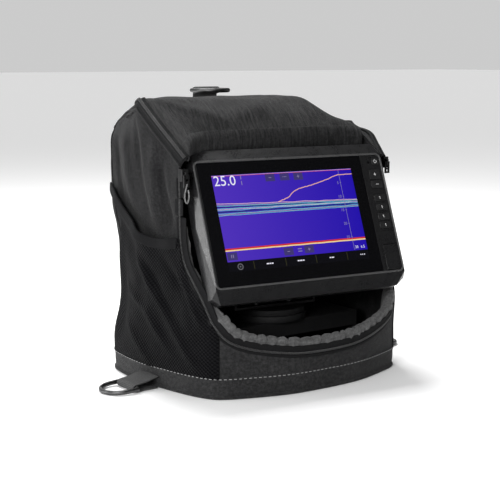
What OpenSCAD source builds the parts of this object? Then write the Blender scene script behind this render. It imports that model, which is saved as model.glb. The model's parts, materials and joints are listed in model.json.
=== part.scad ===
// Portable fish finder: a touch-screen sonar display on a tilting, swivelling
// mount, carried in a soft fabric bag with its battery.
// Millimetres. Origin: middle of the bag's base on the floor. +X is the
// user's right, +Y points to the back of the bag, +Z is up.

/* [Bag] */
// Height of the flat top of the hood
bag_h = 348; // [340:1:360]
// Height of the stiff base band
band_h = 25; // [20:1:30]
// Thickness of the padded fabric walls
wall_t = 2.6; // [2:0.1:3.2]
// Depth of the space inside each side pocket
pocket_gap = 8; // [6:0.5:9]
// Height of the front lip of the mouth in the middle
lip_h = 47.5; // [44:0.5:52]
// Radius of the gathered lining roll round the mouth
lining_r = 6; // [4:0.5:7]

/* [Display] */
// Width of the display housing
unit_w = 276; // [270:1:278]
// Height of the display housing
unit_h = 186; // [182:1:188]
// Depth of the display housing
unit_d = 60; // [55:1:62]
// Backward tilt of the display at rest
unit_tilt = 22.14; // [18:0.01:24]
// Height of the middle of the screen face above the floor
unit_z = 203; // [200:1:206]
// Width of the active screen
screen_w = 197; // [190:1:198]
// Height of the active screen
screen_h = 116; // [110:1:118]
// How far a key cap can be pressed
key_travel = 0.8; // [0.5:0.1:1]

/* [Mount] */
// Turn of the mount at rest, seen from above
swivel_rest = -6; // [-6:0.5:6]
// Distance of the swivel axis in front of the bag's middle
swivel_y = 14; // [10:1:18]
// Distance of the screen face in front of the swivel axis
unit_reach = 78.5; // [76:0.5:80]
// Height of the top of the mounting platform
platform_h = 69; // [66:1:70]
// Half the inside width between the bail arms
bail_half_w = 56; // [54:1:60]

/* [Battery] */
// Width of the battery case
battery_w = 151; // [130:1:152]
// Depth of the battery case
battery_d = 65; // [60:1:66]
// Height of the battery case
battery_h = 95; // [80:1:96]

/* [Rings] */
// Wire diameter of the carrying rings
ring_wire = 5.5; // [4:0.5:6]
// Inside width of the carrying rings
ring_w = 40; // [38:1:42]

/* [Hidden] */
$fn = 48;

fabric = [0.09, 0.09, 0.095];
mesh_grey = [0.12, 0.12, 0.125];
binding_grey = [0.16, 0.16, 0.165];
lining_grey = [0.38, 0.38, 0.38];
metal_grey = [0.5, 0.5, 0.5];
plastic = [0.13, 0.13, 0.14];
plastic_dark = [0.07, 0.07, 0.075];

// ---------- Bag outline, seen from above (right half, front to back) ----------
function half_outline(gap) = [
    [0, -132], [35, -131], [66, -126], [103, -114], [128, -104], [142, -92],
    [153 - 0.15 * gap, -64], [161 - gap, -22], [167 - gap, 25],
    [163 - 0.8 * gap, 78], [156, 104], [140, 123], [112, 132], [60, 133], [0, 133]
];

// Smooth curve through a list of points
spline_steps = 3;
function spline_pt(p, i, t) =
    let (a = p[max(i - 1, 0)], b = p[i], c = p[i + 1], d = p[min(i + 2, len(p) - 1)])
    0.5 * (2 * b + (c - a) * t + (2 * a - 5 * b + 4 * c - d) * t * t
        + (3 * b - a - 3 * c + d) * t * t * t);
function spline(p, n = spline_steps) = concat(
    [for (i = [0:len(p) - 2], k = [0:n - 1]) spline_pt(p, i, k / n)], [p[len(p) - 1]]);
function flip_x(p) = len(p) == 3 ? [-p[0], p[1], p[2]] : [-p[0], p[1]];
// Right half followed by its mirror image, as one closed outline
function both_halves(h) = concat(h, [for (i = [len(h) - 2:-1:1]) flip_x(h[i])]);
function unit2(v) = v / norm(v);
function smooth(a, b, x) = let (t = min(1, max(0, (x - a) / (b - a)))) t * t * (3 - 2 * t);
// The closed outline moved inwards by d
function inset(c, d) = [for (i = [0:len(c) - 1])
    let (n = len(c), t = unit2(c[(i + 1) % n] - c[(i + n - 1) % n])) c[i] + d * [-t[1], t[0]]];
// The same, with more at the back, which rounds the back of the hood
function crown_inset(c, d, crown) = [for (i = [0:len(c) - 1])
    let (n = len(c), t = unit2(c[(i + 1) % n] - c[(i + n - 1) % n]))
    c[i] + (d + crown * smooth(14, 90, c[i][1])) * [-t[1], t[0]]];

outer_outline = both_halves(spline(half_outline(0)));

module plan(outline, d, z0, z1) {
    translate([0, 0, z0]) linear_extrude(z1 - z0) polygon(inset(outline, d));
}
module ring_wall(outline, d0, d1, z0, z1) {
    difference() {
        plan(outline, d0, z0, z1);
        plan(outline, d1, z0 - 1, z1 + 1);
    }
}
// Prism of a side view outline (y, z), between two x values
module side_prism(points, x0, x1) {
    translate([x0, 0, 0]) rotate([90, 0, 90]) linear_extrude(x1 - x0) polygon(points);
}
// Prism of a front view outline (x, z), between two y values
module front_prism(points, y0, y1) {
    translate([0, y1, 0]) rotate([90, 0, 0]) linear_extrude(y1 - y0) polygon(points);
}
// Levels of the bag's skin: height, share of the pocket gap, crown at the back
levels = [[band_h, 1, 0], [120, 1, 0], [205, 1, 0], [222, 0.6, 0], [240, 0.2, 0], [256, 0, 0],
    [300, 0, 0], [bag_h - 28, 0, 3], [bag_h - 17, 0, 8], [bag_h - 8, 0, 17],
    [bag_h - 2.5, 0, 28], [bag_h, 0, 40]];
// Solid inside the bag's skin, moved inwards by d
module bag_solid(d, drop) {
    rings = [for (l = levels)
        let (c = crown_inset(both_halves(spline(half_outline(pocket_gap * l[1]))), d, l[2]),
            z = l[0] < 100 ? l[0] + (d > 0 ? -1 : 0.05) : l[0] - drop * smooth(250, bag_h, l[0]))
        [for (q = c) [q[0], q[1], z]]];
    n = len(rings[0]);
    m = len(rings);
    walls = [for (j = [0:m - 2], k = [0:n - 1])
        let (a = j * n + k, b = j * n + (k + 1) % n)
        for (f = [[a, b + n, b], [a, a + n, b + n]]) f];
    // Each cap is a fan round a middle point
    middles = [for (j = [0, m - 1]) [0, 33, rings[j][0][2]]];
    top = (m - 1) * n;
    caps = [for (k = [0:n - 1])
        let (next = (k + 1) % n)
        for (f = [[m * n, k, next], [m * n + 1, top + next, top + k]]) f];
    polyhedron(points = concat([for (r = rings) for (q = r) q], middles),
        faces = concat(walls, caps), convexity = 6);
}
module bag_skin(t) {
    difference() {
        bag_solid(0, 0);
        bag_solid(t, t);
    }
}

// ---------- Edge of the mouth (right half, from the middle of the lip) ----------
corner_z = 92;
jamb_y = -50;
hood_tip = [-60, 279];
crease = [18, bag_h];
lip_edge = [
    [0, -132, lip_h], [35, -131, lip_h + 1], [66, -126, lip_h + 4.5],
    [103, -114, lip_h + 12], [128, -104, lip_h + 24], [141, -94, corner_z]
];
jamb_edge = [
    [141, -94, corner_z], [146.5, -82, 118], [150.5, -70, 137], [153.5, -58, 156],
    [154.5, jamb_y - 2, 176], [154.7, jamb_y, 200], [154.7, jamb_y, 235],
    [154.7, jamb_y, 264], [153.7, hood_tip[0], hood_tip[1]]
];
slope_edge = [
    [154.5, hood_tip[0], hood_tip[1]], [161.5, -22, 313], [166.8, crease[0], crease[1] - 1],
    [163, 50, 342], [153, 80, 331]
];
lip_curve = spline(lip_edge, 5);
jamb_curve = spline(jamb_edge, 3);
mouth_curve = concat(
    [for (i = [len(jamb_curve) - 1:-1:1]) flip_x(jamb_curve[i])],
    [for (i = [len(lip_curve) - 1:-1:1]) flip_x(lip_curve[i])],
    lip_curve, [for (i = [1:len(jamb_curve) - 1]) jamb_curve[i]]);

// ---------- Sweep of a round or flat section along a path ----------
function path_dir(p, i) = let (a = p[max(i - 1, 0)], b = p[min(i + 1, len(p) - 1)]) (b - a) / norm(b - a);
function side_of(t, up) = let (s = cross(t, up)) s / norm(s);
// Section half sizes [across, along the up vector]
module sweep(path, half, up, sides = 12) {
    n = len(path);
    rings = [for (i = [0:n - 1])
        let (t = path_dir(path, i), s = side_of(t, up), u = cross(s, t))
        for (k = [0:sides - 1])
            let (a = 360 * (k + 0.5) / sides)
            path[i] + half[0] * cos(a) * s + half[1] * sin(a) * u];
    walls = [for (i = [0:n - 2], k = [0:sides - 1])
        let (a = i * sides + k, b = i * sides + (k + 1) % sides)
        for (f = [[a, b, b + sides], [a, b + sides, a + sides]]) f];
    caps = [[for (k = [sides - 1:-1:0]) k], [for (k = [0:sides - 1]) (n - 1) * sides + k]];
    polyhedron(points = rings, faces = concat(walls, caps), convexity = 8);
}

// ---------- Bag panels ----------
module base_band() {
    color(plastic_dark) {
        plan(outer_outline, 2.2, 0, 3);
        ring_wall(outer_outline, 0, wall_t, 2, band_h);
        ring_wall(outer_outline, 2, 4, 0, 2.5);
        ring_wall(outer_outline, wall_t - 0.5, pocket_gap + 6, band_h - 2.4, band_h);
    }
}
module base_panel() {
    color("dimgray") plan(outer_outline, 4.5, 3.2, 8);
}
// Front wall under the lip of the mouth
module front_panel() {
    lip_top = concat([for (i = [len(lip_curve) - 1:-1:1]) [-lip_curve[i][0], lip_curve[i][2]]],
        [for (p = lip_curve) [p[0], p[2]]]);
    color(fabric) intersection() {
        bag_skin(wall_t);
        front_prism(concat([[141, band_h], [-141, band_h]], lip_top), -140, -60);
    }
}
rear_y = 96;
// Seam between the hood and the side and back panels, seen from the side
hood_seam = [[crease[0], crease[1]], [50, 342], [80, 331], [rear_y, 319]];
side_view = concat([[-94, band_h]], [for (p = jamb_curve) [p[1], p[2] - (p[2] > 270 ? 5 : 0)]],
    [for (p = hood_seam) p - [0, p[0] < 20 ? 4.5 : 3]], [[rear_y, band_h]]);
module side_panel(side) {
    x0 = side > 0 ? 100 : -180;
    color(fabric) intersection() {
        bag_skin(wall_t);
        side_prism(side_view, x0, x0 + 80);
        difference() {
            translate([-200, -200, 0]) cube([400, 400, 400]);
            translate([-141.2, -200, 0]) cube([282.4, 140, 400]);
        }
    }
}
module side_panel_left() side_panel(-1);
module side_panel_right() side_panel(1);
module back_panel() {
    color(fabric) intersection() {
        bag_skin(wall_t);
        side_prism([[rear_y + 0.1, band_h], [rear_y + 0.1, 315.5], [140, 297], [140, band_h]], -180, 180);
    }
}
// Hood: top with a rounded back, front slope, and the unzipped front flap,
// which is folded down behind the display
hood_t = 3;
hood_edge_half = [[0, -20], [60, -21], [105, -27], [132, -38], [144, -50], [150, -61], [170, -61]];
flap_half_w = 104;
flap_view = [[-22, 311], [-19, 314], [-14.5, 303], [-9, 291.5], [2, 288.5], [24, 277], [35, 258],
    [37, 240], [34, 240], [32.2, 256.4], [22.3, 274.6], [1.2, 285.6], [-11, 288.8], [-17.4, 302]];
slope_view = [[-62, hood_tip[1] - 2], crease, crease + [2, -0.5], crease + [2, -2.2],
    crease - [0.5, 2.2], [-62, hood_tip[1] - 6]];
module hood() {
    color(fabric) {
        intersection() {
            bag_skin(hood_t);
            side_prism(concat([for (p = hood_seam) p - [0, 2.9]],
                [[140, 297.1], [140, 360], [crease[0], 360]]), -180, 180);
        }
        intersection() {
            bag_solid(0.3, 0);
            side_prism(slope_view, -180, 180);
            translate([0, 0, 200]) linear_extrude(200)
                polygon(concat([for (i = [len(hood_edge_half) - 1:-1:1]) flip_x(hood_edge_half[i])],
                    hood_edge_half, [[170, 140], [-170, 140]]));
        }
        side_prism(flap_view, -flap_half_w, flap_half_w);
    }
}
// Gathered lining that rolls over the inside of the lip
module mouth_lining() {
    inner = [for (p = mouth_curve)
        p + [-p[0] * 0.055, 8, 5]];
    path = [for (p = inner) if (p[2] < 102) p];
    color(lining_grey) sweep(path, [lining_r - 0.5, lining_r + 1], [0, -0.3, 1], 10);
}

// ---------- Zips ----------
module mouth_zip() {
    path = [for (p = mouth_curve) if (p[2] < 270) p + [0, -2, 1.2]];
    color(plastic) sweep(path, [1.1, 2.6], [0, -0.5, 1], 8);
}
module hood_zips() {
    path = spline(slope_edge, 6);
    color(plastic) for (side = [-1, 1])
        sweep([for (p = path) [side * (p[0] + 0.8), p[1] - 1, p[2] + 0.5]], [2.6, 1.6], [0, -0.5, 1], 8);
}
slider_z = 260;
slider_y = jamb_y - 5;
slider_x = 154.7;
module zip_slider(side) {
    color(metal_grey) translate([side * slider_x, slider_y, slider_z]) {
        difference() {
            translate([-4, -6, -7]) cube([8, 9, 14]);
            translate([-2.2, -2.6, -8]) cube([4.4, 7, 16]);
        }
        difference() {
            translate([-1.5, -9.5, -4]) cube([3, 4, 8]);
            translate([-5, -8, 0]) rotate([0, 90, 0]) cylinder(r = 1.1, h = 10);
        }
    }
}
module zip_slider_left() zip_slider(-1);
module zip_slider_right() zip_slider(1);
// Pull tab that hangs from the slider's eye on a cross pin
tab_len = 14;
module zip_tab(side) {
    color(metal_grey) translate([side * slider_x, slider_y - 8, slider_z]) {
        rotate([0, 90, 0]) translate([0, 0, -4]) cylinder(r = 1, h = 8);
        difference() {
            union() {
                for (x = [-3.6, 2]) translate([x, -1, -8]) cube([1.6, 2, 9]);
                translate([-3.6, -1, -tab_len]) cube([7.2, 2, tab_len - 7]);
            }
            translate([0, 5, -tab_len + 3.5]) rotate([90, 0, 0]) cylinder(r = 1.6, h = 10);
        }
    }
}
module zip_tab_left() zip_tab(-1);
module zip_tab_right() zip_tab(1);
// Thin cord looped through the left tab and hanging down
cord_r = 0.9;
cord_route = [[-155, -65, 250], [-157, -66, 245.5], [-158.8, -66, 239], [-158.6, -66, 233],
    [-157, -65.6, 229.4], [-155, -65.4, 228.6], [-153.4, -65.6, 232], [-153, -66, 238],
    [-154, -66, 243.5]];
module pull_cord() {
    color("silver") sweep(spline(cord_route, 3), [cord_r, cord_r], [0, 1, 0], 8);
}

// ---------- Side pockets ----------
pocket_t = 1.4;
pocket_front_y = -80;
pocket_top = [[pocket_front_y, 116], [-66, 136], [-54, 160], [-47, 186], [-30, 187], [0, 193],
    [30, 200], [60, 210], [rear_y + 6, 222]];
module pocket_skin(side) {
    x0 = side > 0 ? 100 : -180;
    intersection() {
        difference() {
            ring_wall(outer_outline, 0, pocket_t, band_h + 0.05, 240);
            bag_solid(-0.06, 0);
        }
        side_prism(concat([[pocket_front_y, band_h]], pocket_top, [[rear_y + 6, band_h]]), x0, x0 + 80);
    }
}
module mesh_pocket_left() color(mesh_grey) pocket_skin(-1);
module mesh_pocket_right() color(mesh_grey) pocket_skin(1);
module pocket_bindings() {
    edge = [for (p = pocket_top) if (p[1] >= 186) p];
    n = len(edge) - 1;
    color(binding_grey) intersection() {
        difference() {
            ring_wall(outer_outline, -1.3, -0.1, 150, 240);
            bag_solid(-0.2, 0);
        }
        side_prism(concat([for (p = edge) [p[0], p[1] + 0.5]],
            [for (i = [n:-1:0]) [edge[i][0], edge[i][1] - 11]]), -190, 190);
    }
}

// ---------- Carrying rings and their webbing ----------
webbing_t = 1.8;
ring_r = ring_wire / 2;
side_ring_x = 196;
side_ring_y = 5;
side_ring_z = ring_r + webbing_t + 0.4;
top_ring_y = 124;
top_ring_z = bag_h + ring_r + 0.3;
ring_reach = 34;
// Slope at which a ring lies, bow on the surface
ring_lie = asin((side_ring_z - ring_r - 0.1) / ring_reach);
// D-ring lying in the XY plane: straight bar on the Y axis, bow towards +X
module d_ring() {
    half = ring_w / 2 + ring_r;
    straight = ring_reach - half;
    color(metal_grey) {
        rotate([90, 0, 0]) translate([0, 0, -half]) cylinder(r = ring_r, h = 2 * half);
        for (s = [-1, 1]) translate([0, s * half, 0]) {
            sphere(r = ring_r);
            rotate([0, 90, 0]) cylinder(r = ring_r, h = straight + 0.01);
        }
        translate([straight, 0, 0]) rotate([0, 0, -90]) rotate_extrude(angle = 180)
            translate([half, 0]) circle(r = ring_r);
    }
}
// Webbing eye round the straight bar, with a tail towards -X
module webbing_eye(tail) {
    w = ring_w - 2;
    color(binding_grey) {
        rotate([90, 0, 0]) translate([0, 0, -w / 2]) difference() {
            cylinder(r = ring_r + 0.2 + webbing_t, h = w);
            translate([0, 0, -1]) cylinder(r = ring_r + 0.2, h = w + 2);
        }
        if (tail > 0) translate([-tail - ring_r, -w / 2, -ring_r - 0.2 - webbing_t]) cube([tail, w, webbing_t]);
    }
}
module side_ring(side) {
    translate([side * side_ring_x, side_ring_y, side_ring_z]) mirror([side < 0 ? 1 : 0, 0, 0])
        rotate([0, ring_lie, 0]) d_ring();
}
module side_ring_left() side_ring(-1);
module side_ring_right() side_ring(1);
module side_webbings() {
    for (s = [0, 1]) mirror([s, 0, 0]) translate([side_ring_x, side_ring_y, side_ring_z]) webbing_eye(27);
}
module top_ring() {
    translate([0, top_ring_y, top_ring_z]) rotate([0, 0, -90]) d_ring();
}
// Eye at the top of a strap that runs down the bag's back
strap_view = [[top_ring_y + ring_r + 0.2, top_ring_z], [top_ring_y + ring_r + 0.2, 334], [130.8, 322],
    [132.9, 308], [133.9, 292], [135.7, 292], [134.7, 308.2], [132.6, 322.4],
    [top_ring_y + ring_r + 0.2 + webbing_t, 334.4], [top_ring_y + ring_r + 0.2 + webbing_t, top_ring_z]];
module top_webbing() {
    translate([0, top_ring_y, top_ring_z]) rotate([0, 0, -90]) webbing_eye(0);
    color(binding_grey) side_prism(strap_view, 1 - ring_w / 2, ring_w / 2 - 1);
}

// ---------- Rigid insert: tray, battery ----------
tray_z = 8.2;
tray_floor = 3;
platform_half_w = 115;
platform_front = -53;
platform_back = 40;
apron_h = 19;
tray_wall = 3;
well_half_w = battery_w / 2 + 1.5;
well_back = platform_back + battery_d + 3;
well_h = 34;
tray_screw_at = [[-96, -30], [96, -30], [-96, 30], [96, 30]];
module inner_tray() {
    w = platform_half_w;
    color(plastic_dark) difference() {
        union() {
            plan(outer_outline, 17, tray_z, tray_z + tray_floor);
            translate([-w, platform_front, platform_h - 4]) cube([2 * w, platform_back - platform_front, 4]);
            translate([-w, platform_front, platform_h - apron_h]) cube([2 * w, tray_wall, apron_h]);
            for (x = [-w, w - tray_wall])
                translate([x, platform_front, tray_z])
                    cube([tray_wall, platform_back - platform_front, platform_h - tray_z]);
            translate([-w, platform_back - tray_wall, tray_z]) cube([2 * w, tray_wall, platform_h - tray_z]);
            for (x = [-well_half_w - tray_wall, well_half_w])
                translate([x, platform_back - 1, tray_z]) cube([tray_wall, battery_d + 7, well_h]);
            translate([-well_half_w, well_back, tray_z]) cube([2 * well_half_w, tray_wall, well_h]);
        }
        for (p = tray_screw_at) translate([p[0], p[1], tray_z - 1]) cylinder(r = 2.2, h = tray_floor + 2);
        for (a = [45:90:315]) translate([0, -swivel_y, platform_h - 10])
            rotate([0, 0, a]) translate([38, 0, 0]) cylinder(r = 2.2, h = 20);
    }
}
module pan_screw(shank_r, shank_len, head_r, head_h) {
    translate([0, 0, -shank_len]) cylinder(r = shank_r, h = shank_len);
    difference() {
        cylinder(r = head_r, h = head_h);
        for (a = [0, 90]) rotate([0, 0, a])
            translate([-head_r * 0.6, -0.5, head_h * 0.5]) cube([head_r * 1.2, 1, head_h]);
    }
}
module tray_screws() {
    color(metal_grey) for (p = tray_screw_at)
        translate([p[0], p[1], tray_z + tray_floor]) pan_screw(2.15, 4.4, 4, 2.4);
}
battery_z = tray_z + tray_floor + 0.2;
battery_y = platform_back + 1.5;
module battery_case() {
    color([0.2, 0.2, 0.22]) difference() {
        translate([-battery_w / 2, battery_y, battery_z]) cube([battery_w, battery_d, battery_h]);
        for (x = [-60, 60]) translate([x - 9, battery_y + 6, battery_z + battery_h - 6]) cube([18, 14, 7]);
    }
}
module battery_terminals() {
    top = battery_z + battery_h - 6;
    for (x = [-60, 60]) color(x < 0 ? "black" : "firebrick") translate([x, battery_y + 13, top]) {
        translate([-4, -3, 0]) cube([8, 6, 2]);
        translate([-3.2, -0.4, 2]) cube([6.4, 0.8, 8]);
    }
}
strap_t = 1.5;
strap_w = 40;
module battery_strap() {
    x = strap_w / 2;
    z0 = tray_z + tray_floor + well_h;
    color(fabric) {
        translate([-x, battery_y - 1.3, battery_z + battery_h + 0.1])
            cube([strap_w, battery_d + 6.3, strap_t]);
        translate([-x, well_back + tray_wall + 0.1, tray_z + 12])
            cube([strap_w, strap_t, battery_h - 9.4]);
        translate([-x, battery_y + battery_d + 0.2, z0]) cube([strap_w, 5, battery_h - well_h - 0.2]);
    }
}

// ---------- Swivel and bail ----------
base_t = 8;
disc_gap = 0.3;
disc_t = 7;
spigot_r = 10;
bail_t = 3;
swivel_top = platform_h + base_t + disc_gap + disc_t;
module swivel_frame() {
    translate([0, -swivel_y, 0]) rotate([0, 0, swivel_rest]) children();
}
module swivel_base() {
    color(plastic_dark) translate([0, -swivel_y, platform_h]) difference() {
        union() {
            cylinder(r = 48, h = base_t);
            cylinder(r = spigot_r, h = base_t + disc_gap + disc_t + 2);
        }
        for (a = [45:90:315]) rotate([0, 0, a]) translate([38, 0, -1]) {
            cylinder(r = 2.2, h = base_t + 2);
            translate([0, 0, 5]) cylinder(r = 4.5, h = 10);
        }
    }
}
module mount_screws() {
    color(metal_grey) for (a = [45:90:315])
        translate([0, -swivel_y, platform_h + 4]) rotate([0, 0, a]) translate([38, 0, 0])
            pan_screw(2.15, 12, 4, 2.4);
}
bail_bolts = [[-24, -8], [24, -8], [-24, 16], [24, 16]];
module turntable() {
    color(plastic) swivel_frame() translate([0, 0, platform_h + base_t + disc_gap]) difference() {
        cylinder(r = 46, h = disc_t);
        translate([0, 0, -1]) cylinder(r = spigot_r + 0.05, h = disc_t + 2);
        for (p = bail_bolts) translate([p[0], p[1], -1]) cylinder(r = 2.2, h = disc_t + 2);
    }
}

// Display frame: X across, Y into the housing, Z up the face; the origin is
// the middle of the front face
module unit_frame() {
    swivel_frame() translate([0, -unit_reach, unit_z]) rotate([-unit_tilt, 0, 0]) children();
}
// Tilt axis in the display frame, and in the swivel frame
tilt_d = 79;
tilt_v = -15;
tilt_y = -unit_reach + tilt_d * cos(unit_tilt) + tilt_v * sin(unit_tilt);
tilt_z = unit_z - tilt_d * sin(unit_tilt) + tilt_v * cos(unit_tilt);
shank_r = 4;
arm_w = 30;
module bail_bracket() {
    w = bail_half_w + bail_t;
    color(plastic) swivel_frame() difference() {
        union() {
            translate([-w, -18, swivel_top]) cube([2 * w, 40, bail_t]);
            for (x = [-w, bail_half_w]) {
                translate([x, -18, swivel_top]) cube([bail_t, 34, 30]);
                side_prism([[-18, swivel_top + 29], [16, swivel_top + 29], [tilt_y + arm_w / 2, tilt_z],
                    [tilt_y - arm_w / 2, tilt_z]], x, x + bail_t);
                translate([x, tilt_y, tilt_z]) rotate([0, 90, 0]) cylinder(r = arm_w / 2, h = bail_t);
            }
        }
        translate([0, 0, swivel_top - 1]) cylinder(r = spigot_r + 4, h = bail_t + 2);
        for (p = bail_bolts) translate([p[0], p[1], swivel_top - 1]) cylinder(r = 2.2, h = bail_t + 2);
        translate([-w - 1, tilt_y, tilt_z]) rotate([0, 90, 0]) cylinder(r = shank_r + 0.05, h = 2 * w + 2);
    }
}
module bail_screws() {
    color(metal_grey) swivel_frame() for (p = bail_bolts)
        translate([p[0], p[1], swivel_top + bail_t]) pan_screw(2.15, 8.6, 4.2, 2.6);
}
knob_r = 17;
knob_h = 13;
module bail_knob(side) {
    color(plastic_dark) swivel_frame() translate([side * (bail_half_w + bail_t + 0.3), tilt_y, tilt_z])
        rotate([0, side * 90, 0]) {
            difference() {
                cylinder(r = knob_r, h = knob_h);
                for (a = [0:60:300]) rotate([0, 0, a])
                    translate([knob_r + 3.5, 0, 2]) cylinder(r = 6, h = knob_h);
            }
            cylinder(r = knob_r * 0.5, h = knob_h + 2);
            translate([0, 0, -bail_t - 9]) cylinder(r = shank_r, h = bail_t + 10);
        }
}
module bail_knob_left() bail_knob(-1);
module bail_knob_right() bail_knob(1);

// ---------- Cradle that carries the display ----------
cradle_half_w = 54;
cradle_v0 = -52;
cradle_v1 = 44;
plate_t = 5;
ear_t = 7;
lever_v = 54;
lever_d = 72;
ledge_v = 46;
module cradle() {
    d0 = unit_d + 0.2;
    color(plastic) unit_frame() difference() {
        union() {
            translate([-cradle_half_w, d0, cradle_v0])
                cube([2 * cradle_half_w, plate_t, cradle_v1 - cradle_v0]);
            for (s = [-1, 1]) {
                x = s > 0 ? bail_half_w - 1 - ear_t : -bail_half_w + 1;
                translate([x, d0 + 1, tilt_v - 13]) cube([ear_t, tilt_d - d0 - 1, 26]);
                translate([x, tilt_d, tilt_v]) rotate([0, 90, 0]) cylinder(r = 13, h = ear_t);
                translate([s * 16 - 2, d0 + 1, 40]) cube([4, lever_d - d0 + 3, lever_v - 35]);
                translate([s * 34, d0 + 1, -42]) rotate([90, 0, 0]) cylinder(r = 4, h = 7);
            }
            translate([-cradle_half_w, d0 + plate_t - 1, cradle_v0]) cube([2 * cradle_half_w, 5, 4]);
        }
        translate([-bail_half_w - 1, tilt_d, tilt_v]) rotate([0, 90, 0])
            cylinder(r = shank_r + 0.05, h = 2 * bail_half_w + 2);
        translate([-20, lever_d, lever_v]) rotate([0, 90, 0]) cylinder(r = 1.55, h = 40);
        translate([-14, d0 - 1, cradle_v1 - 14]) cube([28, plate_t + 2, 20]);
    }
}
// Sprung lever whose tooth drops in front of the lip on the housing's back
module latch_lever() {
    color(plastic_dark) unit_frame() {
        translate([-18, lever_d, lever_v]) rotate([0, 90, 0]) cylinder(r = 1.5, h = 36);
        translate([-13, lever_d, lever_v]) rotate([0, 90, 0]) cylinder(r = 4, h = 26);
        translate([-13, lever_d - 2, lever_v]) cube([26, 5, 26]);
        translate([-11, unit_d + 2.5, lever_v - 2]) cube([22, lever_d - unit_d - 3, 4]);
        translate([-11, unit_d + 2.5, ledge_v + 2.4]) cube([22, 1.9, lever_v - ledge_v - 2]);
        translate([-15, lever_d - 2, lever_v + 23]) cube([30, 10, 4]);
    }
}

// ---------- Display housing ----------
face_w = 267.2;
face_h = 154;
bevel_d = 12;
split_d = 16;
glass = [-129, 102.5, -74.5, 74.5];
keypad = [105.5, 131, -76, 74.5];
power_u = 90;
power_v = -10;
sonar_u = 90;
sonar_vs = [-20, 12];
screen_mid = [-13.2, 0.7];
// Pivot of the card door, and the bore for its stub axles
hinge_v = -72.6;
hinge_d = 1.6;
module door_bore(u0, length) {
    translate([u0, hinge_d, hinge_v]) rotate([0, 90, 0]) cylinder(r = 0.75, h = length);
}
// Slice of the display frame: a (u, v) outline between two depths
module slice(d0, d1) {
    translate([0, d1, 0]) rotate([90, 0, 0]) linear_extrude(d1 - d0) children();
}
module rect2(a) translate([a[0], a[2]]) square([a[1] - a[0], a[3] - a[2]]);
// Outer outline with cut corners
module shell_outline(shrink = 0) {
    w = unit_w / 2 - shrink;
    h = unit_h / 2 - shrink;
    polygon([[-w + 3, -h + 8], [-w + 13, -h], [w - 24, -h], [w - 12, -h + 1], [w, -h + 9],
        [w, h - 6], [w - 7, h], [-w + 12, h], [-w + 3, h - 8], [-w, 0]]);
}
module bezel_screw_at() {
    for (x = [-118, -40, 40, 118], s = [-1, 1]) translate([x, 0, s * 83.5]) children();
}
module bezel_recess(side) {
    length = 200;
    translate([4, bevel_d / 2, side * (face_h / 2 + 8)]) rotate([side * 53, 0, 0])
        translate([0, 0, side * 3.2]) linear_extrude(6, center = true)
            polygon([[-length / 2, -8], [length / 2, -8], [length / 2 + 12, 8], [-length / 2 - 12, 8]]);
}
module front_bezel() {
    color(plastic) unit_frame() difference() {
        hull() {
            slice(0, 0.5) square([face_w, face_h], center = true);
            slice(bevel_d, split_d) shell_outline();
        }
        slice(-1, split_d + 1) rect2(glass);
        slice(-1, split_d + 1) rect2(keypad);
        slice(3, split_d + 1) square([262, 148], center = true);
        slice(bevel_d - 2, split_d + 1) square([262, 160], center = true);
        for (s = [-1, 1]) bezel_recess(s);
        door_bore(130.5, 2.4);
        bezel_screw_at() rotate([-90, 0, 0]) translate([0, 0, bevel_d - 1]) cylinder(r = 1.55, h = 10);
    }
}
module rear_housing() {
    color(plastic) unit_frame() difference() {
        union() {
            difference() {
                hull() {
                    slice(split_d + 0.4, split_d + 8) shell_outline();
                    slice(unit_d - 1, unit_d) rect2([-112, 112, -72, 74]);
                }
                hull() {
                    slice(split_d, split_d + 7) rect2([-132, 132, -79, 79]);
                    slice(unit_d - 5, unit_d - 4) rect2([-108, 108, -68, 70]);
                }
            }
            translate([-12, unit_d - 2, ledge_v]) cube([24, 8.5, 2]);
            translate([-12, unit_d + 4.7, ledge_v + 1]) cube([24, 1.8, 3.4]);
            for (x = [-90:12:-66], s = [0, 1]) mirror([s, 0, 0])
                translate([x, unit_d - 2, 40]) cube([4, 3, 28]);
        }
        bezel_screw_at() rotate([-90, 0, 0]) {
            translate([0, 0, split_d - 1]) cylinder(r = 1.75, h = 12);
            translate([0, 0, split_d + 5]) cylinder(r = 3.4, h = 50);
        }
        for (s = [-1, 1]) translate([s * 34, unit_d + 1, -42]) rotate([90, 0, 0]) cylinder(r = 4.1, h = 8);
        translate([-power_u, unit_d - 8, power_v]) rotate([-90, 0, 0]) cylinder(r = 8.1, h = 12);
        for (v = sonar_vs) translate([sonar_u, unit_d - 8, v]) rotate([-90, 0, 0])
            cylinder(r = 10.1, h = 12);
        translate([-40, unit_d - 8, -60]) rotate([-90, 0, 0]) cylinder(r = 1.5, h = 12);
    }
}
module housing_gasket() {
    color("black") unit_frame() slice(split_d, split_d + 0.4) difference() {
        rect2([-134.4, 134.4, -82, 82]);
        rect2([-132.4, 132.4, -80, 80]);
    }
}
module housing_screws() {
    color(metal_grey) unit_frame() bezel_screw_at() rotate([-90, 0, 0]) translate([0, 0, split_d + 5])
        pan_screw(1.5, 9, 3, 2);
}

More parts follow.
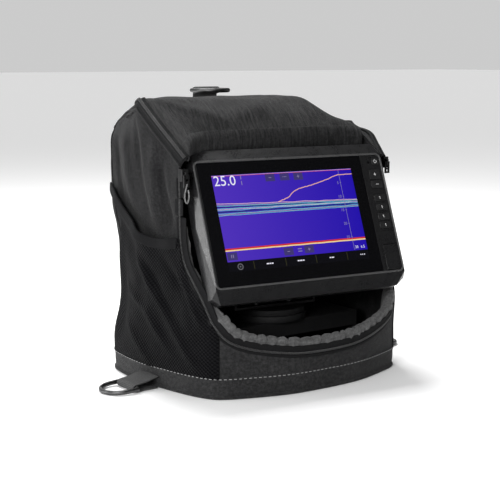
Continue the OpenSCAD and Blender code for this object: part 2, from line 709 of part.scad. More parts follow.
// ---------- Screen ----------
glass_d = 0.5;
glass_t = 1.9;
module cover_glass() {
    color([0.03, 0.03, 0.04]) unit_frame() slice(glass_d, glass_d + glass_t)
        rect2([glass[0] + 0.2, glass[1] - 0.2, glass[2] + 0.2, glass[3] - 0.2]);
}
lcd_d = glass_d + glass_t + 0.1;
lcd_t = 3.4;
module screen_slab(border, d0, d1) {
    slice(d0, d1) translate(screen_mid)
        square([screen_w + 2 * border, screen_h + 2 * border], center = true);
}
module lcd_panel() {
    color([0.25, 0.15, 0.7]) unit_frame() screen_slab(4, lcd_d, lcd_d + lcd_t);
}
backlight_d = lcd_d + lcd_t + 0.1;
module backlight() {
    color("gainsboro") unit_frame() difference() {
        screen_slab(6, backlight_d, backlight_d + 5);
        screen_slab(-4, backlight_d + 3.5, backlight_d + 6);
    }
}

// ---------- Keys ----------
// Each key: middle (u, v) and size
power_key = [[124, 66], [10, 9]];
zoom_in_key = [[119.6, 49.2], [16, 12.4]];
zoom_out_key = [[120, 36.2], [17, 9.6]];
shortcut_w = 17;
shortcut_h = 8.5;
shortcut_vs = [18.5, 6.4, -5.6, -16.9];
shortcut_keys = [for (v = shortcut_vs) [[119.8, v], [shortcut_w, shortcut_h]]];
all_keys = concat([power_key, zoom_in_key, zoom_out_key], shortcut_keys);
panel_d = 0.6;
panel_t = 2;
key_gap = 0.35;
key_proud = 1;
flange = 0.7;
module rounded(size, r) {
    w = size[0] / 2 - r;
    h = size[1] / 2 - r;
    square([size[0], 2 * h], center = true);
    square([2 * w, size[1]], center = true);
    for (x = [-w, w], y = [-h, h]) translate([x, y]) circle(r = r);
}
module key_cap(k) {
    back = panel_d + panel_t + 0.1;
    color(plastic) unit_frame() translate([k[0][0], 0, k[0][1]]) {
        slice(panel_d - key_proud, back + 0.01) rounded(k[1], 2);
        slice(back, back + 0.8) rounded(k[1] + 2 * [flange, flange], 2);
    }
}
module power_button() key_cap(power_key);
module zoom_in_button() key_cap(zoom_in_key);
module zoom_out_button() key_cap(zoom_out_key);
module shortcut_key_1() key_cap(shortcut_keys[0]);
module shortcut_key_2() key_cap(shortcut_keys[1]);
module shortcut_key_3() key_cap(shortcut_keys[2]);
module shortcut_key_4() key_cap(shortcut_keys[3]);
door = [109, 130.4, -75, -42];
module keypad_panel() {
    color(plastic) unit_frame() difference() {
        slice(panel_d, panel_d + panel_t)
            rect2([keypad[0] + 0.15, keypad[1] - 0.15, keypad[2] + 0.15, keypad[3] - 0.15]);
        for (k = all_keys) slice(panel_d - 1, panel_d + panel_t + 1)
            translate(k[0]) rounded(k[1] + 2 * [key_gap, key_gap], 2 + key_gap);
        slice(panel_d - 1, panel_d + 0.5) rect2([109, 129.6, -24, -23]);
        slice(panel_d - 1, panel_d + panel_t + 1) rect2([door[0] - 0.5, 140, -80, door[3] + 1]);
        translate([115, panel_d - 1, 65]) rotate([-90, 0, 0]) cylinder(r = 1.2, h = 5);
        door_bore(105, 5);
    }
}
board_d = panel_d + panel_t + 0.9 + key_travel + 1.7;
module keypad_board() {
    color("darkgreen") unit_frame() {
        slice(board_d, board_d + 1.6) rect2([107, 130, -23, 73]);
        for (k = all_keys) translate([k[0][0], board_d, k[0][1]]) rotate([90, 0, 0]) cylinder(r = 3, h = 1.5);
    }
}

// ---------- Electronics ----------
main_d = 26;
module main_board() {
    color("darkgreen") unit_frame() {
        slice(main_d, main_d + 1.6) rect2([-95, 95, -50, 52]);
        for (c = [[-40, 10, 24, 24, 3], [5, 12, 18, 18, 2.5], [50, -15, 30, 22, 5], [-70, -30, 16, 20, 8]])
            translate([c[0], 0, c[1]]) slice(main_d + 1.59, main_d + 1.6 + c[4])
                square([c[2], c[3]], center = true);
        for (x = [-75:10:-25]) translate([x, main_d + 1.59, 42]) rotate([-90, 0, 0]) cylinder(r = 3, h = 6);
    }
}
module gps_antenna() {
    color("tan") unit_frame() {
        translate([60, 0, 38]) slice(main_d + 1.7, main_d + 6) square([22, 22], center = true);
        translate([60, 0, 38]) slice(main_d + 5.9, main_d + 6.4) square([18, 18], center = true);
    }
}
module speaker() {
    color("black") unit_frame() translate([-70, main_d + 1.7, 5]) rotate([-90, 0, 0]) {
        cylinder(r = 9, h = 5);
        cylinder(r = 3, h = 7);
    }
}
// Moulded bay behind the card door, with two card slots
bay_d = 14;
module card_bay() {
    color(plastic_dark) unit_frame() {
        difference() {
            slice(3.1, bay_d + 2) rect2([106.5, 130.8, -73.8, -41]);
            slice(2, bay_d) rect2([door[0] - 0.4, door[1] - 1.6, -71.5, -43]);
        }
        for (v = [-64, -53]) difference() {
            slice(6, bay_d + 0.01) rect2([112, 127, v - 2.6, v + 2.6]);
            slice(5, bay_d - 1) rect2([113.4, 125.6, v - 0.9, v + 0.9]);
        }
    }
}
module card_door() {
    color(plastic) unit_frame() {
        slice(-0.3, 1.6) rect2([door[0], door[1] - 0.4, hinge_v + 0.6, door[3]]);
        translate([door[0], hinge_d, hinge_v]) rotate([0, 90, 0])
            cylinder(r = 1.3, h = door[1] - door[0] - 0.4);
        translate([door[0], -0.3, hinge_v]) cube([door[1] - door[0] - 0.4, 1.9, 2]);
        translate([door[0] - 2.5, hinge_d, hinge_v]) rotate([0, 90, 0])
            cylinder(r = 0.7, h = door[1] - door[0] + 4.2);
        translate([117, 1.5, -46]) cube([6, 1.2, 1.6]);
    }
}

// ---------- Sockets on the back ----------
module round_socket(r, pins, ring) {
    floor_z = -2.5;
    rotate([-90, 0, 0]) {
        difference() {
            union() {
                translate([0, 0, -6]) cylinder(r = r, h = 14.5);
                translate([0, 0, -6]) cylinder(r = r + 2, h = 1.9);
            }
            translate([0, 0, floor_z]) cylinder(r = r - 2, h = 12);
        }
        for (a = [0:360 / pins:359]) rotate([0, 0, a])
            translate([ring, 0, floor_z - 0.1]) cylinder(r = 0.7, h = 4);
    }
}
module power_socket() {
    color("black") unit_frame() translate([-power_u, unit_d, power_v]) round_socket(8, 4, 3);
}
module sonar_sockets() {
    color("black") unit_frame() for (v = sonar_vs) translate([sonar_u, unit_d, v]) round_socket(10, 6, 4.5);
}

base_panel();
base_band();
front_panel();
side_panel_left();
side_panel_right();
back_panel();
hood();
mouth_lining();
hood_zips();
mouth_zip();
mesh_pocket_left();
mesh_pocket_right();
pocket_bindings();
side_webbings();
top_webbing();
side_ring_left();
side_ring_right();
top_ring();
zip_slider_left();
zip_slider_right();
zip_tab_left();
zip_tab_right();
pull_cord();
inner_tray();
tray_screws();
battery_case();
battery_terminals();
battery_strap();
swivel_base();
mount_screws();
turntable();
bail_bracket();
bail_screws();
bail_knob_left();
bail_knob_right();
cradle();
latch_lever();
rear_housing();
housing_gasket();
front_bezel();
housing_screws();
cover_glass();
lcd_panel();
backlight();
keypad_panel();
keypad_board();
main_board();
gps_antenna();
speaker();
card_bay();
card_door();
power_socket();
sonar_sockets();
power_button();
zoom_in_button();
zoom_out_button();
shortcut_key_1();
shortcut_key_2();
shortcut_key_3();
shortcut_key_4();
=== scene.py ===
"""Portable fish finder in its fabric carry bag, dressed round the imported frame.

Shapes are worked out in millimetres along the frame's axes, and the makers of
meshes turn them into metres.
"""
import json
import math

import bmesh
import bpy
import numpy as np
from mathutils import Matrix, Vector, noise


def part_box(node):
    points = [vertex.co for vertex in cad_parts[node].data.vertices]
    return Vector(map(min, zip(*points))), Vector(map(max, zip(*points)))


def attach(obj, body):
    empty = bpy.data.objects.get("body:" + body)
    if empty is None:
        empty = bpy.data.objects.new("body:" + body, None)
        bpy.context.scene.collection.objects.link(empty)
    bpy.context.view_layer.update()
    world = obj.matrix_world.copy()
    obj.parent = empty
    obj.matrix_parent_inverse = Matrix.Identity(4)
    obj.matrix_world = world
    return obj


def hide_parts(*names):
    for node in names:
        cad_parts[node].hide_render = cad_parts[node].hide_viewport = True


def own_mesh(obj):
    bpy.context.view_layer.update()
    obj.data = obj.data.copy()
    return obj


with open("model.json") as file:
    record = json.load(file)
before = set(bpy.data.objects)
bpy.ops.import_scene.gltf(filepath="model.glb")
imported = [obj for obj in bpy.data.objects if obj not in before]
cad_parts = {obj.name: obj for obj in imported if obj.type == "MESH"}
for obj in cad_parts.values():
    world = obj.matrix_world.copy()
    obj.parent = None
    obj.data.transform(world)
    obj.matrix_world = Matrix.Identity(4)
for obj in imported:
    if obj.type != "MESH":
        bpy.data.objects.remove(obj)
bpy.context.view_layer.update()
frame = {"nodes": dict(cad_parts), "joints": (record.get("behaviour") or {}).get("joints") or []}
NODES = frame["nodes"]
JOINTS = {j["name"]: j for j in frame["joints"]}
MM = 0.001
SIDES = {"left": -1, "right": 1}
rng = np.random.default_rng(7)


# ---------- Camera ----------
CAMERA_AT = (-0.9165, -1.2298, 0.3929)
CAMERA_AZIMUTH = math.radians(-36.14)
CAMERA_ELEVATION = math.radians(8.94)
CAMERA_LENS = 87.86


def add_object(name, data):
    made = bpy.data.objects.new(name, data)
    bpy.context.scene.collection.objects.link(made)
    return made


def make_camera():
    cam = add_object("camera", bpy.data.cameras.new("camera"))
    cam.data.lens = CAMERA_LENS
    flat = math.cos(CAMERA_ELEVATION)
    back = Vector((math.sin(CAMERA_AZIMUTH) * flat, -math.cos(CAMERA_AZIMUTH) * flat,
                   math.sin(CAMERA_ELEVATION)))
    cam.location = CAMERA_AT
    cam.rotation_euler = (-back).to_track_quat("-Z", "Y").to_euler()
    bpy.context.scene.camera = cam


# ---------- Curves ----------
def curve_through(points, per_span):
    """Smooth curve through a list of points."""
    p = np.array(points, float)
    p = np.vstack([p[:1], p, p[-1:]])
    out = []
    for i in range(1, len(p) - 2):
        a, b, c, d = p[i - 1:i + 3]
        for k in range(per_span):
            t = k / per_span
            out.append(0.5 * (2 * b + (c - a) * t + (2 * a - 5 * b + 4 * c - d) * t * t
                              + (3 * b - a - 3 * c + d) * t ** 3))
    return np.array(out + [p[-2]])


def lengths(path):
    """Distance along a path at each of its points."""
    steps = np.linalg.norm(np.diff(path, axis=0), axis=1)
    return np.concatenate([[0], np.cumsum(steps)])


def values_at(at, s, values):
    """Rows of values, known at distances s, read at the distances at."""
    return np.stack([np.interp(at, s, values[:, k]) for k in range(values.shape[1])], axis=-1)


def resample(path, step):
    """The same path with evenly spaced points."""
    s = lengths(path)
    return values_at(np.linspace(0, s[-1], max(2, int(round(s[-1] / step)) + 1)), s, path)


def unit(v):
    return v / np.maximum(np.linalg.norm(v, axis=-1, keepdims=True), 1e-9)


def tangents(path):
    return unit(np.gradient(path, axis=0))


def smooth(a, b, x):
    t = np.clip((x - a) / (b - a), 0, 1)
    return t * t * (3 - 2 * t)


def flip(path):
    """Mirror image from the right side to the left, or back."""
    return np.asarray(path, float) * np.array([-1, 1, 1])


# ---------- Pull cord ----------
CORD_RADIUS = 0.0009
CORD_ROUTE = [(-0.155, -0.065, 0.250), (-0.157, -0.066, 0.2455), (-0.1588, -0.066, 0.239),
              (-0.1586, -0.066, 0.233), (-0.157, -0.0656, 0.2294), (-0.155, -0.0654, 0.2286),
              (-0.1534, -0.0656, 0.232), (-0.153, -0.066, 0.238), (-0.154, -0.066, 0.2435)]


def make_pull_cord():
    line = curve_through(CORD_ROUTE, 3)
    data = bpy.data.curves.new("pull_cord_loop", "CURVE")
    data.dimensions = "3D"
    spline = data.splines.new("POLY")
    spline.points.add(len(line) - 1)
    for point, at in zip(spline.points, line):
        point.co, point.radius = (*at, 1), CORD_RADIUS
    data.bevel_depth = 1.0
    data.bevel_resolution = 3
    data.use_fill_caps = True
    cord = add_object("pull_cord_loop", data)
    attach(cord, "tab_left")
    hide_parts("pull_cord")
    return cord


make_camera()
pull_cord = make_pull_cord()


# ---------- Materials ----------
class Shader:
    """A node material on one Principled shader."""

    def __init__(self, name, **fixed):
        self.material = bpy.data.materials.new(name)
        self.material.use_nodes = True
        self.tree = self.material.node_tree
        self.bsdf = self.tree.nodes["Principled BSDF"]
        for key, value in fixed.items():
            self.set(key.replace("_", " ").title().replace("Ior", "IOR"), value)

    def set(self, key, value):
        socket = self.bsdf.inputs[key]
        if isinstance(value, bpy.types.NodeSocket):
            self.tree.links.new(value, socket)
        else:
            socket.default_value = value

    def node(self, kind, inputs=(), out=0, **props):
        made = self.tree.nodes.new("ShaderNode" + kind)
        for key, value in props.items():
            setattr(made, key, value)
        for key, value in dict(inputs).items():
            if isinstance(value, bpy.types.NodeSocket):
                self.tree.links.new(value, made.inputs[key])
            else:
                made.inputs[key].default_value = value
        return made.outputs[out]

    def math(self, operation, a, b=0.0):
        return self.node("Math", {0: a, 1: b}, operation=operation)

    def ramp(self, factor, *stops):
        """Colours or greys at positions from 0 to 1."""
        made = self.tree.nodes.new("ShaderNodeValToRGB")
        self.tree.links.new(factor, made.inputs[0])
        elements = made.color_ramp.elements
        while len(elements) < len(stops):
            elements.new(0.5)
        for element, (at, colour) in zip(elements, stops):
            element.position = at
            element.color = (*colour, 1) if hasattr(colour, "__len__") else (colour,) * 3 + (1,)
        return made.outputs[0]

    def noise(self, where, scale, detail=2.0, rough=0.5, out=0):
        return self.node("TexNoise", {"Vector": where, "Scale": scale, "Detail": detail,
                                      "Roughness": rough}, out=out)

    def scaled(self, where, scale, turn=0.0):
        return self.node("Mapping", {"Vector": where, "Scale": scale, "Rotation": (0, 0, turn)})

    def bump(self, height, distance, strength=1.0, under=None):
        inputs = {"Height": height, "Distance": distance, "Strength": strength}
        if under is not None:
            inputs["Normal"] = under
        return self.node("Bump", inputs)


def tint(grey, warm=0.0):
    """A grey with a slight cool or warm cast, in linear light."""
    return (grey * (1 + warm), grey, grey * (1 - warm) + 0.0006)


THREAD = 0.0011


def weave_height(s, cloth, pitch):
    """Threads over and under, from a flat cloth coordinate in metres."""
    axes = s.node("SeparateXYZ", {0: cloth}, out=0).node
    waves = []
    for k in (0, 1):
        turn = s.math("MULTIPLY", axes.outputs[k], 2 * math.pi / pitch)
        waves.append(s.math("SINE", turn))
    return s.math("MULTIPLY", waves[0], waves[1])


def fabric(name, grey, pitch=THREAD, contrast=0.55, streak=0.0, bump=0.00018, warm=0.0,
           roughness=0.82, sheen=0.12, turn=0.0):
    """Woven cloth: threads, uneven dye, lint and a soft sheen."""
    s = Shader(name, roughness=roughness, sheen_weight=sheen, sheen_roughness=0.45,
               specular_ior_level=0.15)
    cloth = s.node("TexCoord", out=2)
    if turn:
        cloth = s.scaled(cloth, (1, 1, 1), turn)
    weave = weave_height(s, cloth, pitch)
    speckle = s.noise(cloth, 0.32 / pitch, 3, 0.8)
    patches = s.noise(cloth, 22, 3, 0.6)
    tone = s.math("ADD", s.math("MULTIPLY", speckle, 0.8), s.math("MULTIPLY", patches, 0.2))
    if streak:
        long_threads = s.noise(s.scaled(cloth, (0.36 / pitch, 34, 1)), 1.0, 3, 0.75)
        tone = s.math("ADD", s.math("MULTIPLY", tone, 1 - streak),
                      s.math("MULTIPLY", long_threads, streak))
    tone = s.math("ADD", tone, s.math("MULTIPLY", weave, 0.05))
    low, high = grey * (1 - contrast), grey * (1 + 1.5 * contrast)
    s.set("Base Color", s.ramp(tone, (0.38, tint(low, warm)), (0.52, tint(grey, warm)),
                               (0.66, tint(high, warm))))
    fuzz = s.noise(cloth, 1.2 / pitch, 2, 0.7)
    height = s.math("ADD", s.math("MULTIPLY", weave, 0.5), s.math("MULTIPLY", fuzz, 0.7))
    s.set("Normal", s.bump(height, bump * 2))
    return s.material


def net(name, grey, hole=0.0046):
    """Knitted mesh with rows of small diamond holes over a dark ground."""
    s = Shader(name, roughness=0.9, sheen_weight=0.02, specular_ior_level=0.08)
    cloth = s.node("TexCoord", out=2)
    holes = weave_height(s, cloth, hole)
    patches = s.noise(cloth, 30, 3, 0.6)
    lint = s.noise(cloth, 900, 2, 0.7)
    tone = s.math("ADD", s.math("MULTIPLY", holes, 0.34),
                  s.math("ADD", s.math("MULTIPLY", patches, 0.45), s.math("MULTIPLY", lint, 0.5)))
    s.set("Base Color", s.ramp(tone, (0.25, tint(grey * 0.12)), (0.45, tint(grey * 0.7)),
                               (0.75, tint(grey * 2.6))))
    s.set("Normal", s.bump(s.math("ADD", holes, s.math("MULTIPLY", lint, 0.5)), 0.0009))
    return s.material


def ribbed(name, grey, rib=0.0016):
    """Flat woven tape with ribs across its width."""
    s = Shader(name, roughness=0.8, sheen_weight=0.02, specular_ior_level=0.1)
    cloth = s.node("TexCoord", out=2)
    axes = s.node("SeparateXYZ", {0: cloth}).node
    ribs = s.math("SINE", s.math("MULTIPLY", axes.outputs[1], 2 * math.pi / rib))
    lint = s.noise(cloth, 700, 3, 0.7)
    tone = s.math("ADD", s.math("MULTIPLY", ribs, 0.1), lint)
    s.set("Base Color", s.ramp(tone, (0.3, tint(grey * 0.55)), (0.7, tint(grey * 1.5))))
    s.set("Normal", s.bump(s.math("ADD", ribs, s.math("MULTIPLY", lint, 0.6)), 0.0002))
    return s.material


def moulded(name, grey, roughness=0.5, grain=1600, depth=0.00004, warm=0.0, wear=0.25):
    """Moulded plastic with a fine spark-eroded grain and faint scuffs."""
    s = Shader(name, specular_ior_level=0.5)
    where = s.node("TexCoord", out=3)
    fine = s.noise(where, grain, 3, 0.65)
    scuffs = s.noise(where, 55, 5, 0.75)
    s.set("Base Color", s.ramp(scuffs, (0.3, tint(grey * (1 - 0.3 * wear), warm)),
                               (0.75, tint(grey * (1 + 0.7 * wear), warm))))
    s.set("Roughness", s.ramp(s.math("ADD", s.math("MULTIPLY", fine, 0.5),
                                     s.math("MULTIPLY", scuffs, 0.5)),
                              (0.3, roughness - 0.09), (0.7, roughness + 0.09)))
    s.set("Normal", s.bump(fine, depth * 4, 0.8))
    return s.material


def metal(name, grey, roughness=0.4, metallic=1.0, warm=0.0):
    """Cast or plated metal with fine wear."""
    s = Shader(name, metallic=metallic)
    where = s.node("TexCoord", out=3)
    fine = s.noise(where, 900, 3, 0.6)
    wear = s.noise(where, 120, 4, 0.7)
    s.set("Base Color", s.ramp(wear, (0.35, tint(grey * 0.75, warm)),
                               (0.7, tint(grey * 1.3, warm))))
    s.set("Roughness", s.ramp(wear, (0.3, roughness - 0.12), (0.7, roughness + 0.14)))
    s.set("Normal", s.bump(fine, 0.00008, 0.7))
    return s.material


def plain_gloss(name, colour, roughness=0.2, coat=0.0, mottle=0.08):
    """Smooth coated surface with a slight mottle."""
    s = Shader(name, roughness=roughness, coat_weight=coat, coat_roughness=0.05)
    where = s.node("TexCoord", out=3)
    spots = s.noise(where, 300, 3, 0.6)
    dark = tuple(c * (1 - mottle) for c in colour)
    light = tuple(min(1, c * (1 + mottle)) for c in colour)
    s.set("Base Color", s.ramp(spots, (0.35, dark), (0.65, light)))
    return s.material


def glass_black(name):
    """Dark cover glass with a few faint smears."""
    s = Shader(name, base_color=(0.0035, 0.0035, 0.004, 1), specular_ior_level=0.5)
    where = s.node("TexCoord", out=3)
    smears = s.noise(where, 40, 5, 0.7)
    s.set("Roughness", s.ramp(smears, (0.35, 0.06), (0.8, 0.2)))
    return s.material


MAT = {
    "nylon": fabric("black_pack_nylon", 0.0092, streak=0.3, contrast=0.9, sheen=0.05),
    # Painted light: the hood is the same black nylon as the sides at about twice their grey,
    # standing in for the light that falls on the top.
    "hood": fabric("hood_nylon_painted_light", 0.0175, streak=0.6, contrast=0.9, sheen=0.05),
    # Painted light: the front panel and base band use the black nylon at about twice the sides'
    # grey, standing in for light on the front and the base.
    "band": fabric("base_nylon_painted_light", 0.0200, pitch=0.0014, contrast=0.5, sheen=0.05),
    "mesh": net("pocket_mesh", 0.0016),
    "binding": ribbed("edge_binding", 0.0020, rib=0.0013),
    "webbing": ribbed("carry_webbing", 0.06),
    "lining": fabric("gathered_lining", 0.078, pitch=0.0013, contrast=0.5, streak=0.45, sheen=0.15),
    "tape": ribbed("zip_tape", 0.007, rib=0.0011),
    "coil": moulded("zip_coil", 0.035, 0.4, wear=0.5),
    "thread": moulded("sewing_thread", 0.26, 0.7, wear=0.3),
    "housing": moulded("housing_plastic", 0.0105, 0.30, wear=0.2),
    # Painted highlight: the face rim is the housing's plastic at about five times its grey,
    # standing in for light caught along the face's edge.
    "rim": moulded("housing_rim_painted_highlight", 0.05, 0.3, wear=0.1),
    "keys": moulded("key_rubber", 0.011, 0.42, grain=2400, wear=0.2),
    "tray": moulded("tray_plastic", 0.003, 0.7, grain=900, depth=0.00008),
    "board": moulded("stiffener_board", 0.012, 0.75, grain=400, wear=0.5),
    "battery": moulded("battery_case", 0.02, 0.45, grain=1200),
    "seal": moulded("seal_rubber", 0.006, 0.7),
    "metal": metal("black_satin_metal", 0.03, 0.42),
    "ring": metal("grey_cast_metal", 0.09, 0.38),
    "steel": metal("black_zinc_screws", 0.1, 0.4),
    "brass": metal("tinned_brass", 0.35, 0.35, warm=0.25),
    "glass": glass_black("cover_glass_black"),
    "lcd": plain_gloss("lcd_cell", (0.02, 0.015, 0.06), 0.15, 0.5),
    "white": plain_gloss("backlight_white", (0.8, 0.8, 0.8), 0.35),
    "circuit": plain_gloss("circuit_green", (0.01, 0.09, 0.03), 0.35, 0.3, 0.35),
    "ceramic": plain_gloss("patch_ceramic", (0.5, 0.4, 0.25), 0.5),
    "cord": ribbed("braided_cord", 0.22, rib=0.0012),
    "print": moulded("white_print", 0.6, 0.5, wear=0.1),
}

KEY_NODES = ["power_button", "zoom_in_button", "zoom_out_button", "shortcut_key_1",
             "shortcut_key_2", "shortcut_key_3", "shortcut_key_4"]
CAD_MATERIALS = {
    "board": ["base_panel"],
    "tray": ["inner_tray", "swivel_base", "turntable", "bail_bracket", "cradle", "latch_lever",
             "bail_knob_left", "bail_knob_right", "card_bay", "power_socket", "sonar_sockets",
             "speaker"],
    "battery": ["battery_case"],
    "brass": ["battery_terminals"],
    "nylon": ["battery_strap"],
    "housing": ["rear_housing", "front_bezel", "keypad_panel", "card_door"],
    "keys": KEY_NODES,
    "seal": ["housing_gasket"],
    "steel": ["tray_screws", "mount_screws", "bail_screws", "housing_screws"],
    "ring": ["side_ring_left", "side_ring_right", "top_ring"],
    "metal": ["zip_slider_left", "zip_slider_right", "zip_tab_left", "zip_tab_right"],
    "glass": ["cover_glass"],
    "lcd": ["lcd_panel"],
    "white": ["backlight"],
    "circuit": ["keypad_board", "main_board"],
    "ceramic": ["gps_antenna"],
}
SOFTENED = {
    0.0006: ["front_bezel", "rear_housing", "card_door", "inner_tray", "battery_case", "cradle",
             "swivel_base", "turntable"],
    0.0003: KEY_NODES + ["zip_slider_left", "zip_slider_right", "zip_tab_left", "zip_tab_right",
                         "latch_lever", "bail_bracket", "card_bay", "bail_knob_left",
                         "bail_knob_right", "keypad_panel", "battery_terminals"],
}


def soften(node, width):
    """Rounds the edges of a CAD node that the moulding tool would round."""
    piece = NODES[node]
    weld = piece.modifiers.new("weld", "WELD")
    weld.merge_threshold = 1e-6
    flat = piece.modifiers.new("flat", "DECIMATE")
    flat.decimate_type = "DISSOLVE"
    flat.angle_limit = math.radians(0.5)
    bevel = piece.modifiers.new("bevel", "BEVEL")
    bevel.width = width
    bevel.segments = 2
    bevel.limit_method = "ANGLE"
    bevel.angle_limit = math.radians(28)
    bevel.harden_normals = True


def dress_cad_nodes():
    for key, names in CAD_MATERIALS.items():
        for name in names:
            data = NODES[name].data
            data.materials.clear()
            data.materials.append(MAT[key])
    for width, names in SOFTENED.items():
        for name in names:
            soften(name, width)


# ---------- Meshes ----------
def lay_cloth(data, cloth):
    """Stores each point's flat coordinates."""
    layer = data.uv_layers.new(name="cloth")
    corner = np.zeros(len(data.loops), np.int32)
    data.loops.foreach_get("vertex_index", corner)
    layer.data.foreach_set("uv", np.asarray(cloth, float)[corner].ravel())


def add_mesh(name, points, faces, material, cloth=None, body="bag", replaces=(), slot=None):
    """A smooth mesh from millimetre points, with cloth as its flat coordinates in metres."""
    data = bpy.data.meshes.new(name)
    data.from_pydata((np.asarray(points, float) * MM).tolist(), [], [list(f) for f in faces])
    data.materials.append(MAT[material] if isinstance(material, str) else material)
    if cloth is not None:
        lay_cloth(data, cloth)
    data.polygons.foreach_set("use_smooth", np.ones(len(data.polygons), bool))
    data.update()
    piece = add_object(name, data)
    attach(piece, body)
    if replaces:
        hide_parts(*replaces)
    return piece


def grid_faces(rows, cols, closed=False):
    faces = []
    for j in range(rows - 1):
        for i in range(cols if closed else cols - 1):
            a, b = j * cols + i, j * cols + (i + 1) % cols
            faces.append((a, b, b + cols, a + cols))
    return faces


def end_faces(rows, cols):
    """The two ends of a tube of rings."""
    return [tuple(range(cols - 1, -1, -1)), tuple((rows - 1) * cols + k for k in range(cols))]


def grid_normals(grid):
    return unit(np.cross(np.gradient(grid, axis=1), np.gradient(grid, axis=0)))


def subdivide(piece):
    sub = piece.modifiers.new("smooth", "SUBSURF")
    sub.levels = sub.render_levels = 1


def weld_points(piece, distance=0.05):
    made = bmesh.new()
    made.from_mesh(piece.data)
    bmesh.ops.remove_doubles(made, verts=made.verts, dist=distance * MM)
    made.to_mesh(piece.data)
    made.free()
    piece.data.update()


class Bundle:
    """Collects many small solids into one mesh."""

    def __init__(self):
        self.points, self.faces, self.cloth = [], [], []
        self.count = 0

    def add(self, points, faces, cloth=None):
        points = np.asarray(points, float)
        self.points.append(points)
        self.faces += [tuple(self.count + k for k in f) for f in faces]
        self.cloth.append(np.zeros((len(points), 2)) if cloth is None else cloth)
        self.count += len(points)

    def sweep(self, path, across, up, profile, closed=False):
        """A closed profile (across, up) carried along a path."""
        path, profile = np.asarray(path, float), np.asarray(profile, float)
        n, m = len(path), len(profile)
        ring = profile[None, :, :1] * across[:, None, :] + profile[None, :, 1:] * up[:, None, :]
        grid = path[:, None, :] + ring
        faces = grid_faces(n, m, closed=True)
        if closed:
            last = (n - 1) * m
            faces += [(last + i, last + (i + 1) % m, (i + 1) % m, i) for i in range(m)]
        else:
            faces += end_faces(n, m)
        round_it = lengths(np.vstack([profile, profile[:1]]))[:-1]
        cloth = np.stack(np.broadcast_arrays(round_it[None, :], lengths(path)[:, None]), axis=-1)
        self.add(grid.reshape(-1, 3), faces, cloth.reshape(-1, 2) * MM)

    def make(self, name, material, **facts):
        return add_mesh(name, np.vstack(self.points), self.faces, material,
                        np.vstack(self.cloth), **facts)


def oval(a, b, n=10):
    turn = np.linspace(0, 2 * math.pi, n, endpoint=False)
    return np.stack([a * np.cos(turn), b * np.sin(turn)], axis=1)


def pillow(a, b, n=16, power=4):
    """Rounded rectangle with half sizes a and b."""
    turn = np.linspace(0, 2 * math.pi, n, endpoint=False)
    c, s = np.cos(turn), np.sin(turn)
    return np.stack([a * np.sign(c) * np.abs(c) ** (2 / power),
                     b * np.sign(s) * np.abs(s) ** (2 / power)], axis=1)


# ---------- The bag's skin ----------
BAG_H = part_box("hood")[1].z / MM
BAND_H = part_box("base_band")[1].z / MM
POCKET_GAP = 8
HALF_OUTLINE = [(0, -132), (35, -131), (66, -126), (103, -114), (128, -104), (142, -92),
                (153, -64), (161, -22), (167, 25), (163, 78), (156, 104), (140, 123),
                (112, 132), (60, 133), (0, 133)]
GAP_SHARE = [0, 0, 0, 0, 0, 0, 0.15, 1, 1, 0.8, 0, 0, 0, 0, 0]
FINE = 12
OUT = curve_through(HALF_OUTLINE, FINE)
OUT_GAP = curve_through([(g,) for g in GAP_SHARE], FINE)[:, 0]
OUT_T = np.arange(len(OUT)) / FINE
T_END = OUT_T[-1]
CORNER_T = 4.5
REAR_Y = 96


def t_at(y):
    """Place round the outline, from the front middle, where the right side is at y."""
    rising = OUT_T < 12.5
    return np.interp(y, OUT[rising, 1], OUT_T[rising])


def y_at(t):
    return np.interp(np.abs(t), OUT_T, OUT[:, 1])


def crown_at(z):
    top = BAG_H - np.array([48, 28, 17, 8, 2.5, 0])
    return np.interp(z, top, [0, 3, 8, 17, 28, 40])


def skin(t, z, gap=True):
    """Outer surface of the bag: t round the outline (negative on the left), z up."""
    t, z = np.broadcast_arrays(np.asarray(t, float), np.asarray(z, float))
    side, a = np.where(t < 0, -1.0, 1.0), np.abs(t)
    share = np.interp(z, [205, 222, 240, 256], [1, 0.6, 0.2, 0]) if gap else 0.0
    x = np.interp(a, OUT_T, OUT[:, 0]) - POCKET_GAP * share * np.interp(a, OUT_T, OUT_GAP)
    y = np.interp(a, OUT_T, OUT[:, 1])
    step = 0.05
    tx = np.interp(a + step, OUT_T, OUT[:, 0]) - np.interp(a - step, OUT_T, OUT[:, 0])
    ty = np.interp(a + step, OUT_T, OUT[:, 1]) - np.interp(a - step, OUT_T, OUT[:, 1])
    size = np.maximum(np.hypot(tx, ty), 1e-9)
    inset = crown_at(z) * smooth(14, 90, y)
    return np.stack([side * (x - inset * ty / size), y + inset * tx / size, z], axis=-1)


def skin_normal(t, z, gap=True):
    dt = skin(t + 0.03, z, gap) - skin(t - 0.03, z, gap)
    dz = skin(t, np.asarray(z) + 0.5, gap) - skin(t, np.asarray(z) - 0.5, gap)
    return unit(np.cross(dt, dz))


LIP = [(0, -132, 47.5), (35, -131, 48.5), (66, -126, 52), (103, -114, 59.5), (128, -104, 71.5),
       (141, -94, 92)]
JAMB = [(141, -94, 92), (146.5, -82, 118), (150.5, -70, 137), (153.5, -58, 156),
        (154.5, -52, 176), (154.7, -50, 200), (154.7, -50, 235), (154.7, -50, 264),
        (153.7, -60, 279)]
SLOPE = [(154, -60, 279), (161.5, -22, 313), (166.8, 18, BAG_H)]
SEAM = [(18, BAG_H), (50, BAG_H - 6), (80, BAG_H - 17), (REAR_Y, BAG_H - 29)]
lip_line = curve_through(LIP, 8)
jamb_line = curve_through(JAMB, 8)
slope_line = curve_through(SLOPE, 12)
seam_line = curve_through(SEAM, 8)


